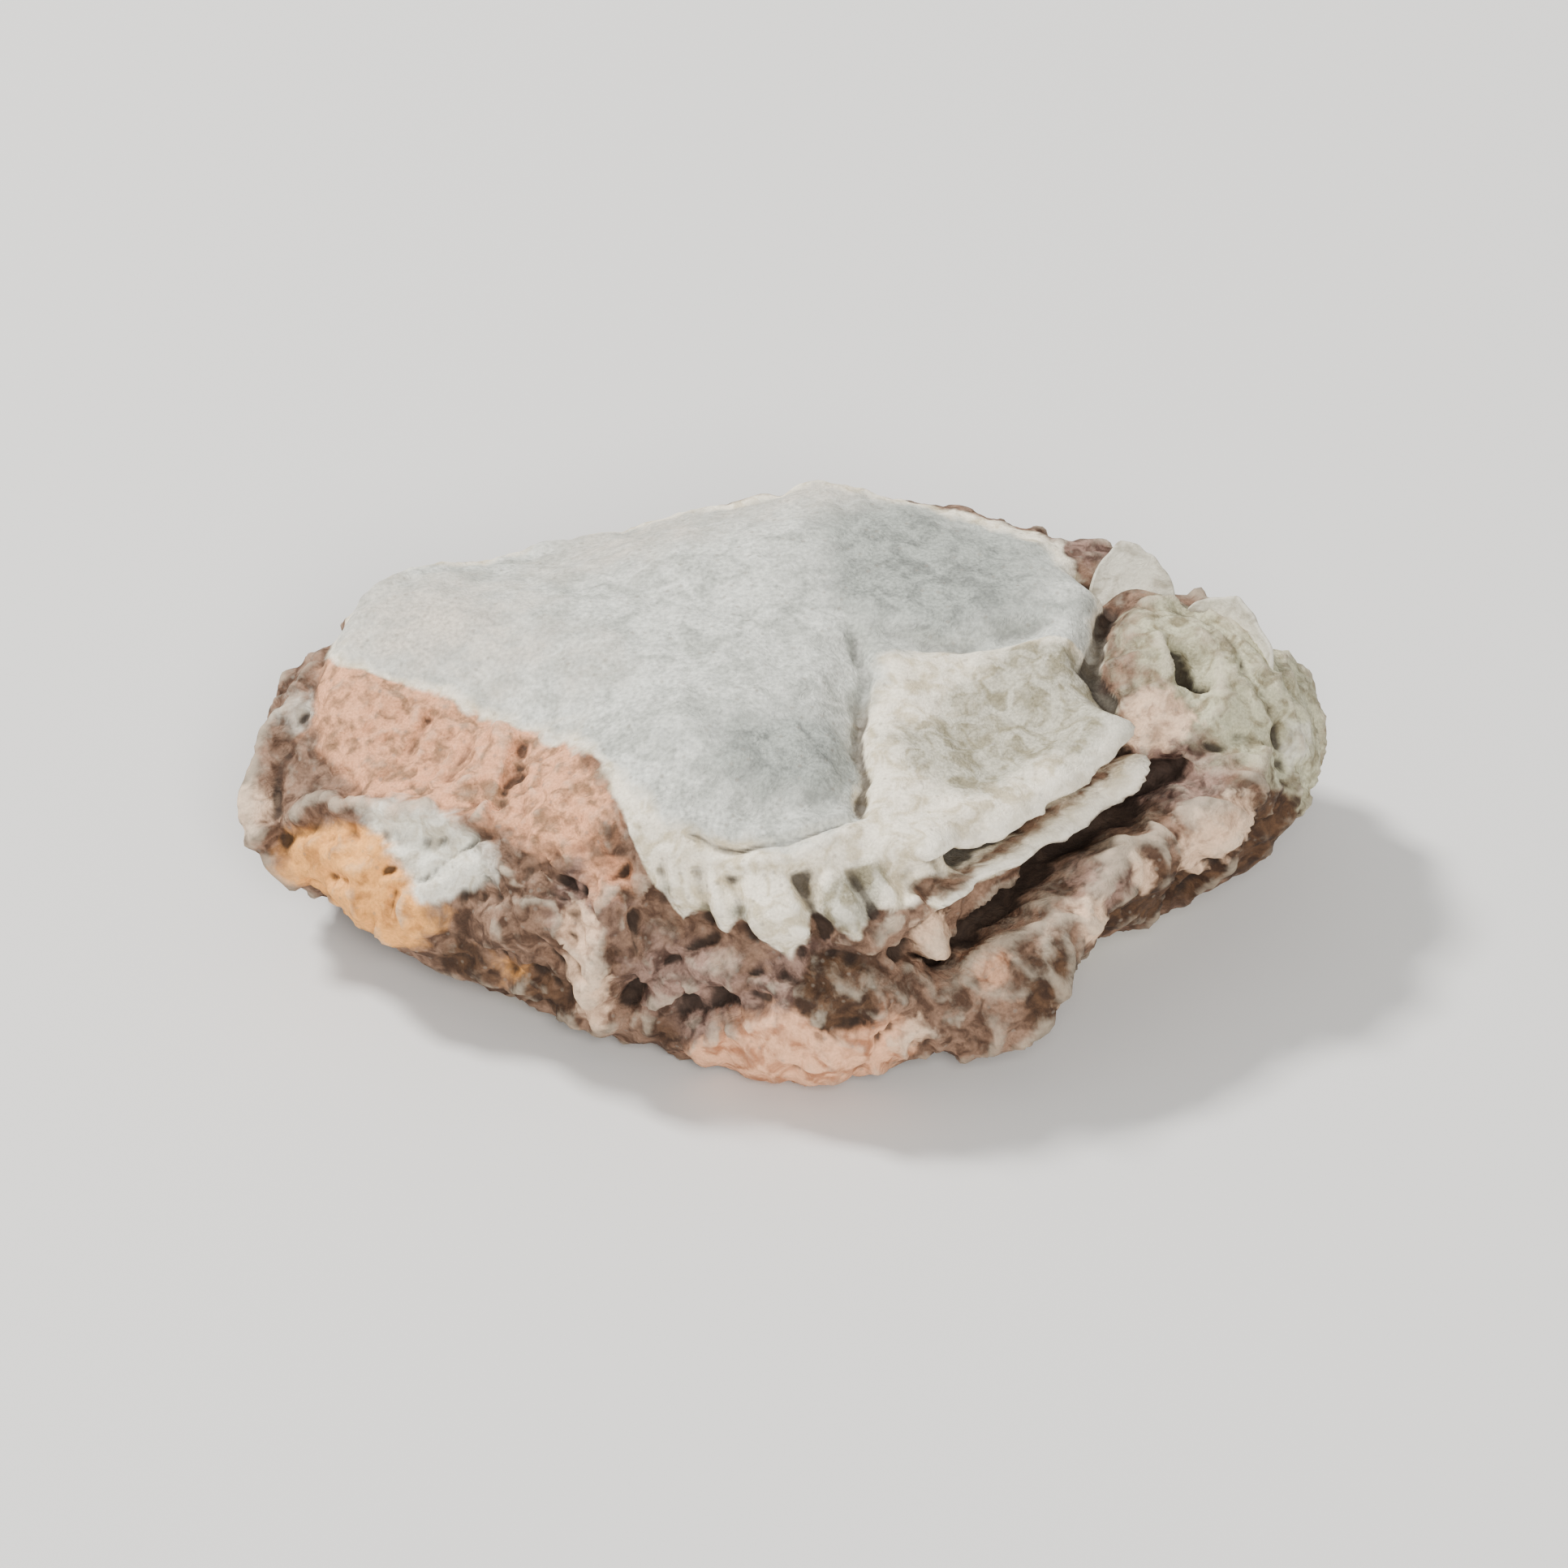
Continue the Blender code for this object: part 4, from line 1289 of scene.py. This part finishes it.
@dataclass
class FlakeSurface:
    """The loose flakes' material: pale papery skin with a fine tooth."""

    effects: SharedEffects
    finish: MottledFinish = PAPERY
    tooth: Tooth = Tooth(0.04, 0.12, 0.5)
    name: str = "papery_skin"

    def build(self) -> bpy.types.Material:
        """Makes the material.

        Returns:
            The material, ready for the flakes' meshes.
        """
        material, sheet = new_material(self.name)
        place = sheet.millimetres()
        colour = self.effects.mottled(sheet, self.finish, place)
        self.effects.dress(sheet, place, colour, self.finish.roughness, self.tooth)
        return material


@dataclass(frozen=True)
class Layer:
    """A region's finish, and the scale, raggedness and softness of the region's edge."""

    region: Region
    finish: MottledFinish
    scale: float
    raggedness: float
    softness: float


@dataclass
class SliceSurface:
    """The slice's material: rind and cut faces, each mottled, with dust, painted shade in the
    crevices and crests paled by wear and a painted highlight.
    """

    effects: SharedEffects
    name: str = "dried_rhizome_dressed"
    patches: tuple[Layer, ...] = (
        Layer(Region.PLUM, PLUM, 1.6, 0.9, 0.20),
        Layer(Region.KNOB, KNOB, 1.2, 0.8, 0.22),
        Layer(Region.RUST, RUST, 1.0, 0.9, 0.20),
        Layer(Region.OCHRE, OCHRE, 1.1, 0.8, 0.20),
        Layer(Region.PALE, PALE, 1.2, 0.8, 0.20),
        Layer(Region.AMBER, AMBER, 1.4, 0.9, 0.20),
        Layer(Region.UMBER_AND_SHADE, UMBER_AND_SHADE, 1.6, 0.9, 0.20),
        Layer(Region.BUFF, BUFF, 2.2, 0.9, 0.18),
    )
    cortex: Layer = Layer(Region.CORTEX, CREAM, 1.3, 0.9, 0.18)
    facet: Layer = Layer(Region.FACET, FACET, 1.1, 0.9, 0.30)
    starch: Layer = Layer(Region.STARCH, STARCH, 1.1, 0.8, 0.24)
    starch_tints: tuple[Layer, ...] = (
        Layer(Region.WARM, WARM_STARCH, 0.7, 0.9, 0.40),
        Layer(Region.GREY, GREY_STARCH, 0.7, 0.9, 0.40),
    )
    dust_amount: float = 0.28
    speck_scale: float = 2.2
    speck_fade: tuple[float, float] = (0.20, 0.08)
    speck_depth: float = 0.42
    # The crevice mask paints shade into the hollows, less deep on the starch.
    crevice_shade_fade: tuple[float, float] = (0.22, 0.85)
    crevice_shade_depth: float = 0.88
    crevice_shade_eased_on_starch: float = 0.50
    # The crest mask pales the colour, partly as wear and partly as a painted highlight.
    worn_and_highlight_fade: tuple[float, float] = (0.5, 1.1)
    rind_wear_and_highlight: float = 0.28
    flesh_wear_and_highlight: float = 0.20
    tooth: Tooth = Tooth(0.06, 0.15, 0.55)

    def _mask(self, sheet: NodeSheet, place: Socket, layer: Layer) -> Socket:
        """A layer's mask, with its irregular edge."""
        inputs = {
            "Mask": sheet.attribute(layer.region),
            "Place": place,
            "Scale": layer.scale,
            "Raggedness": layer.raggedness,
            "Softness": layer.softness,
        }
        return sheet.group(self.effects.broken_edge, inputs)

    def _flesh(
        self,
        sheet: NodeSheet,
        place: Socket,
        finish: MottledFinish,
        layers: tuple[Layer, ...],
    ) -> Socket:
        """A finish with other layers laid over it, each inside its own edge."""
        colour = self.effects.mottled(sheet, finish, place)
        for layer in layers:
            over = self.effects.mottled(sheet, layer.finish, place)
            colour = sheet.mix(self._mask(sheet, place, layer), colour, over)
        return colour

    def _rind(self, sheet: NodeSheet, place: Socket) -> tuple[Socket, NodeInput]:
        """The rind's colour, with its patches and its dust, and its roughness."""
        colour = self.effects.mottled(sheet, RIND, place)
        roughness: NodeInput = RIND.roughness
        for layer in self.patches:
            mask = self._mask(sheet, place, layer)
            colour = sheet.mix(mask, colour, self.effects.mottled(sheet, layer.finish, place))
            roughness = sheet.mix_numbers(mask, roughness, layer.finish.roughness)
        inputs = {
            "Color": colour,
            "Dust": PALE_DUST_AND_HIGHLIGHT,
            "Place": place,
            "Facing": sheet.upwards(),
            "Crest": sheet.attribute(Region.CREST),
            "Amount": self.dust_amount,
        }
        return sheet.group(self.effects.dust, inputs), roughness

    def _marked(
        self,
        sheet: NodeSheet,
        place: Socket,
        colour: Socket,
        flesh: Socket,
        starch: Socket,
    ) -> Socket:
        """Marks a colour with specks, painted shade in its crevices, and crests paled by wear and a
        painted highlight.

        Args:
            sheet: The material's nodes.
            place: The place on the slice.
            colour: The colour to mark.
            flesh: The mask of the whole cut faces.
            starch: The mask of their grey starch, where the painted crevice shade is made lighter.

        Returns:
            The marked colour.
        """
        voronoi = {"Vector": place, "Scale": self.speck_scale, "Randomness": 1.0}
        away = sheet.add("ShaderNodeTexVoronoi", voronoi).outputs["Distance"]
        specks = sheet.math("MULTIPLY", sheet.fade(away, *self.speck_fade), self.speck_depth)
        colour = sheet.mix(specks, colour, DARK_SPECK)
        # Painted shade in the crevices, eased where the starch is.
        shade_eased_by_starch = sheet.math("MULTIPLY", starch, self.crevice_shade_eased_on_starch)
        depth = sheet.math("SUBTRACT", self.crevice_shade_depth, shade_eased_by_starch)
        dark = sheet.fade(sheet.attribute(Region.CREVICE), *self.crevice_shade_fade)
        colour = sheet.mix(sheet.math("MULTIPLY", dark, depth), colour, CREVICE_SHADE)
        # Crests paled, partly as wear and partly as a painted highlight.
        wear_and_highlight = sheet.math("ADD", self.rind_wear_and_highlight, sheet.math("MULTIPLY", flesh, self.flesh_wear_and_highlight))
        worn_and_lit = sheet.fade(sheet.attribute(Region.CREST), *self.worn_and_highlight_fade)
        edge = sheet.mix(flesh, PALE_DUST_AND_HIGHLIGHT, FLESH_EDGE_AND_HIGHLIGHT)
        return sheet.mix(sheet.math("MULTIPLY", worn_and_lit, wear_and_highlight), colour, edge)

    def build(self) -> bpy.types.Material:
        """Makes the material.

        Returns:
            The material, ready for the slice's mesh.
        """
        material, sheet = new_material(self.name)
        place = sheet.millimetres()
        colour, roughness = self._rind(sheet, place)
        cream = self._flesh(sheet, place, self.cortex.finish, (self.facet,))
        cortex = self._mask(sheet, place, self.cortex)
        colour = sheet.mix(cortex, colour, cream)
        powder = self._flesh(sheet, place, self.starch.finish, self.starch_tints)
        starch = self._mask(sheet, place, self.starch)
        colour = sheet.mix(starch, colour, powder)
        flesh = sheet.math("MAXIMUM", cortex, starch)
        roughness = sheet.mix_numbers(flesh, roughness, self.starch.finish.roughness)
        colour = self._marked(sheet, place, colour, flesh, starch)
        self.effects.dress(sheet, place, colour, roughness, self.tooth)
        return material


@dataclass
class RhizomeSlice:
    """The slice itself, from its grid block to its dressed mesh."""

    form: SliceForm = field(default_factory=SliceForm)
    block: GridBlock = field(default_factory=GridBlock)
    name: str = "rhizome_slice"
    cube_end: float = 0.9999
    cortex_smoothness: float = 0.8
    near_relief: tuple[int, float] = (4, 0.045)
    broad_relief: tuple[int, float] = (40, 0.34)
    crest_shares: tuple[float, float] = (0.6, 0.5)
    crevice_shade_shares: tuple[float, float] = (0.5, 0.8)
    evened_over: float = 0.35
    plain: np.ndarray = field(init=False)
    finished: np.ndarray = field(init=False)

    def _places(self, block: bpy.types.Object) -> tuple[np.ndarray, np.ndarray]:
        """The angle in radians and the station of each point, its squares drawn to rounds."""
        x, y, z = MeshRelief(block.data).points().T
        across = x * np.sqrt(1.0 - y * y / 2)
        along = y * np.sqrt(1.0 - x * x / 2)
        out = np.minimum(np.hypot(across, along), 1.0)
        down = (1.0 - z) / 2
        packed = self.form.rows_packed_up
        down = (1.0 - packed) * down + packed * down**2
        edge, base = self.form.face_edge, self.form.base_edge
        side = edge + down * (base - edge)
        lower = np.where(z < -self.cube_end, 1.0 - (1.0 - base) * out, side)
        stations = np.where(z > self.cube_end, edge * out, lower)
        return np.arctan2(along, across), stations

    @staticmethod
    def _keep(piece: bpy.types.Object, region: Region, mask: np.ndarray) -> None:
        """Keeps one mask on the mesh under its region's name."""
        layer = piece.data.attributes.new(region.value, "FLOAT", "POINT")
        layer.data.foreach_set("value", mask.astype(np.float32))

    def build(self) -> bpy.types.Object:
        """Builds the slice.

        Returns:
            The slice's object, at the origin and in metres.
        """
        piece = self.block.build(self.name)
        angles, stations = self._places(piece)
        plain = self.form.plain(angles, stations)
        masks = SurfaceMap(self.form).masks(plain, np.degrees(angles), stations)
        smooth = self.cortex_smoothness * masks[Region.CORTEX]
        flesh = np.maximum(masks[Region.STARCH], smooth)
        skin = (1.0 - flesh) * (0.5 + 0.5 * self.form.rind_share(stations))
        relief = MeshRelief(piece.data)
        set_points(piece, plain)
        coarse = self.form.carve_main(plain, relief.normals(), stations)
        set_points(piece, coarse)
        carved = self.form.carve_fine(
            plain, coarse, relief.normals(), stations, skin, relief.spacing()
        )
        low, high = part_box(CAD_NODE)
        self.plain = plain
        self.finished = self.form.fitted(carved, low / MM, high / MM)
        set_points(piece, self.finished)
        piece.scale = (MM, MM, MM)
        bpy.ops.object.transform_apply(location=False, rotation=False, scale=True)
        bpy.ops.object.shade_smooth()
        relief = MeshRelief(piece.data)
        near = relief.height(*self.near_relief)
        # The crest mask, for dust and for pale wear with a painted highlight.
        broad = relief.height(*self.broad_relief)
        fine, wide = self.crest_shares
        masks[Region.CREST] = np.clip(fine * near + wide * broad, 0.0, 1.0)
        # The crevice mask, which the material turns into painted shade.
        fine, wide = self.crevice_shade_shares
        masks[Region.CREVICE] = np.clip(-fine * near - wide * broad, 0.0, 1.0)
        for region, mask in masks.items():
            self._keep(piece, region, mask)
        return piece

    def surface_at(self, angle: float, station: float) -> np.ndarray:
        """Where the finished surface is at one place.

        Args:
            angle: Degrees round the slice.
            station: How far down it the place is, from 0 to 1.

        Returns:
            The surface's point, in millimetres, with its small shapes evened out.
        """
        away = np.linalg.norm(self.plain - self.form.place(angle, station), axis=1)
        weights = np.exp(-((away / self.evened_over) ** 2))
        return weights @ self.finished / weights.sum()


@dataclass(frozen=True)
class Flake:
    """A dry scale of skin that stands off the slice along a line between two places.

    Its width is how far its free edge stands out, and stand is the way it points. Taper
    makes its far end the wider one, or the near end where it is negative. Curl turns the
    free edge over, in radians.
    """

    name: str
    start: Place
    end: Place
    width: float
    stand: tuple[float, float, float]
    taper: float
    curl: float


@dataclass
class LooseFlakes:
    """The scales of skin that have come half off at the back of the knob."""

    body: RhizomeSlice
    flakes: tuple[Flake, ...] = (
        Flake("plate_flake", (25, 0.328), (21, 0.390), 1.70, (0.10, 0.75, 0.65), -0.3, 0.4),
        Flake("strip_flake", (20, 0.395), (4, 0.445), 1.05, (0.45, 0.50, 0.74), -0.2, 0.5),
    )
    squares: tuple[int, int] = (26, 9)
    root_places: int = 9
    sunk: float = 0.30
    thickness: float = 0.13
    end_rounding: float = 0.4
    edge_teeth: tuple[Wrinkles, Wrinkles] = (
        Wrinkles(0.70, 0.22, 7.0),
        Wrinkles(0.25, 0.08, 17.0),
    )
    ripple: Wrinkles = Wrinkles(0.90, 0.10, 23.0)

    def _ribbon(self, flake: Flake, along: np.ndarray, out: np.ndarray) -> np.ndarray:
        """A flake's points.

        Args:
            flake: The flake.
            along: How far along its root each point is, from 0 to 1.
            out: How far out to its free edge each point is, from 0 to 1.

        Returns:
            One row of X, Y and Z for each point, in millimetres.
        """
        shares = np.linspace(0.0, 1.0, self.root_places)
        start, run = np.array(flake.start), np.subtract(flake.end, flake.start)
        roots = np.array([self.body.surface_at(*(start + share * run)) for share in shares])
        stand = np.array(flake.stand) / np.linalg.norm(flake.stand)
        over = np.cross(roots[-1] - roots[0], stand)
        over /= np.linalg.norm(over)
        base = np.stack([np.interp(along, shares, column) for column in roots.T], axis=-1)
        swell = np.clip(4.0 * along * (1.0 - along), 0.0, 1.0) ** self.end_rounding
        ragged = 1.0 + sum(teeth.height * teeth.noise(base) for teeth in self.edge_teeth)
        width = flake.width * swell * (1.0 + flake.taper * (along - 0.5)) * ragged
        bend = flake.curl * out
        risen = np.sin(bend) / flake.curl
        turned = (1.0 - np.cos(bend)) / flake.curl
        points = base - self.sunk * stand
        points += (width * risen)[:, None] * stand + (width * turned)[:, None] * over
        return points + self.ripple.height * self.ripple.noise(points)[:, None] * over

    def _piece(self, flake: Flake) -> bpy.types.Object:
        """Builds one flake, with its thickness."""
        deselect_all()
        columns, rows = self.squares
        bpy.ops.mesh.primitive_grid_add(x_subdivisions=columns, y_subdivisions=rows, size=1.0)
        piece = bpy.context.object
        piece.name = flake.name
        piece.data.name = flake.name
        x, y, _ = MeshRelief(piece.data).points().T
        set_points(piece, self._ribbon(flake, x + 0.5, y + 0.5) * MM)
        wall = piece.modifiers.new("thickness", "SOLIDIFY")
        wall.thickness = self.thickness * MM
        wall.offset = 0.0
        apply_modifier(piece, wall)
        rounding = piece.modifiers.new("rounding", "SUBSURF")
        rounding.levels = 1
        rounding.render_levels = 1
        apply_modifier(piece, rounding)
        bpy.ops.object.mode_set(mode="EDIT")
        bpy.ops.mesh.select_all(action="SELECT")
        bpy.ops.mesh.normals_make_consistent(inside=False)
        bpy.ops.object.mode_set(mode="OBJECT")
        bpy.ops.object.shade_smooth()
        return piece

    def build(self) -> list[bpy.types.Object]:
        """Builds the flakes.

        Returns:
            Their objects, at the origin and in metres.
        """
        return [self._piece(flake) for flake in self.flakes]


@dataclass(frozen=True)
class Lamp:
    """A square area light: where it stands, its size, its power and its colour."""

    name: str
    place: tuple[float, float, float]
    size: float
    power: float
    colour: tuple[float, float, float]


@dataclass
class Studio:
    """The pale floor, the soft lights and the camera."""

    floor_size: float = 3.0
    floor_gap: float = 0.00002
    floor_colour: Colour = (0.78, 0.77, 0.75, 1.0)
    floor_roughness: float = 0.9
    key: Lamp = Lamp("key", (-0.26, 0.16, 0.38), 0.08, 3.3, (1.0, 0.985, 0.96))
    fill: Lamp = Lamp("front_fill", (0.06, -0.46, 0.36), 0.20, 2.9, (1.0, 0.975, 0.94))
    sky_colour: Colour = (0.97, 0.985, 1.0, 1.0)
    sky_strength: float = 0.52
    aim: tuple[float, float, float] = (0.0, 0.0, 0.0042)
    elevation: float = 38.5
    distance: float = 0.42
    frame_width: float = 0.046
    sensor_width: float = 36.0
    seen_from_to: tuple[float, float] = (0.01, 20.0)

    def floor(self) -> None:
        """The floor, just under the slice."""
        deselect_all()
        place = (0.0, 0.0, -self.floor_gap)
        bpy.ops.mesh.primitive_plane_add(size=self.floor_size, location=place)
        floor = bpy.context.object
        floor.name = "studio_floor"
        material, sheet = new_material("pale_floor")
        finish = {"Base Color": self.floor_colour, "Roughness": self.floor_roughness}
        sheet.join(sheet.tree.nodes[SHADER], finish)
        floor.data.materials.append(material)

    @staticmethod
    def _stand(data: bpy.types.ID, place: Vector, away: Vector) -> bpy.types.Object:
        """Puts a light or the camera at its place, with its back turned away."""
        thing = bpy.data.objects.new(data.name, data)
        thing.location = place
        thing.rotation_euler = away.to_track_quat("Z", "Y").to_euler()
        bpy.context.scene.collection.objects.link(thing)
        return thing

    def lights(self) -> None:
        """A key from behind on the left, a fill from the front, and pale surroundings."""
        for lamp in (self.key, self.fill):
            data = bpy.data.lights.new(lamp.name, "AREA")
            data.size = lamp.size
            data.energy = lamp.power
            data.color = lamp.colour
            place = Vector(lamp.place)
            self._stand(data, place, place - Vector(self.aim))
        world = bpy.data.worlds.new("pale_surroundings")
        world.use_nodes = True
        sky = {"Color": self.sky_colour, "Strength": self.sky_strength}
        NodeSheet(world.node_tree).join(world.node_tree.nodes["Background"], sky)
        bpy.context.scene.world = world

    def camera(self) -> None:
        """The camera, square on to the slice's long side and looking down at it."""
        data = bpy.data.cameras.new("camera")
        data.sensor_width = self.sensor_width
        data.lens = data.sensor_width * self.distance / self.frame_width
        data.clip_start, data.clip_end = self.seen_from_to
        tilt = math.radians(self.elevation)
        away = Vector((0.0, -math.cos(tilt), math.sin(tilt)))
        place = Vector(self.aim) + away * self.distance
        bpy.context.scene.camera = self._stand(data, place, away)


def main() -> None:
    """Builds the slice, dresses it and sets it in the studio."""
    logging.basicConfig(level=logging.INFO, format="%(name)s: %(message)s")
    studio = Studio()
    studio.floor()
    studio.lights()
    studio.camera()
    effects = SharedEffects()
    rhizome = RhizomeSlice()
    slice_piece = rhizome.build()
    slice_piece.data.materials.append(SliceSurface(effects).build())
    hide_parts(CAD_NODE)
    papery = FlakeSurface(effects).build()
    flakes = LooseFlakes(rhizome).build()
    for flake in flakes:
        flake.data.materials.append(papery)
    for piece in (slice_piece, *flakes):
        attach(piece, "root")
        log.info("%s: %d faces", piece.name, len(piece.data.polygons))


if __name__ == "__main__":
    main()
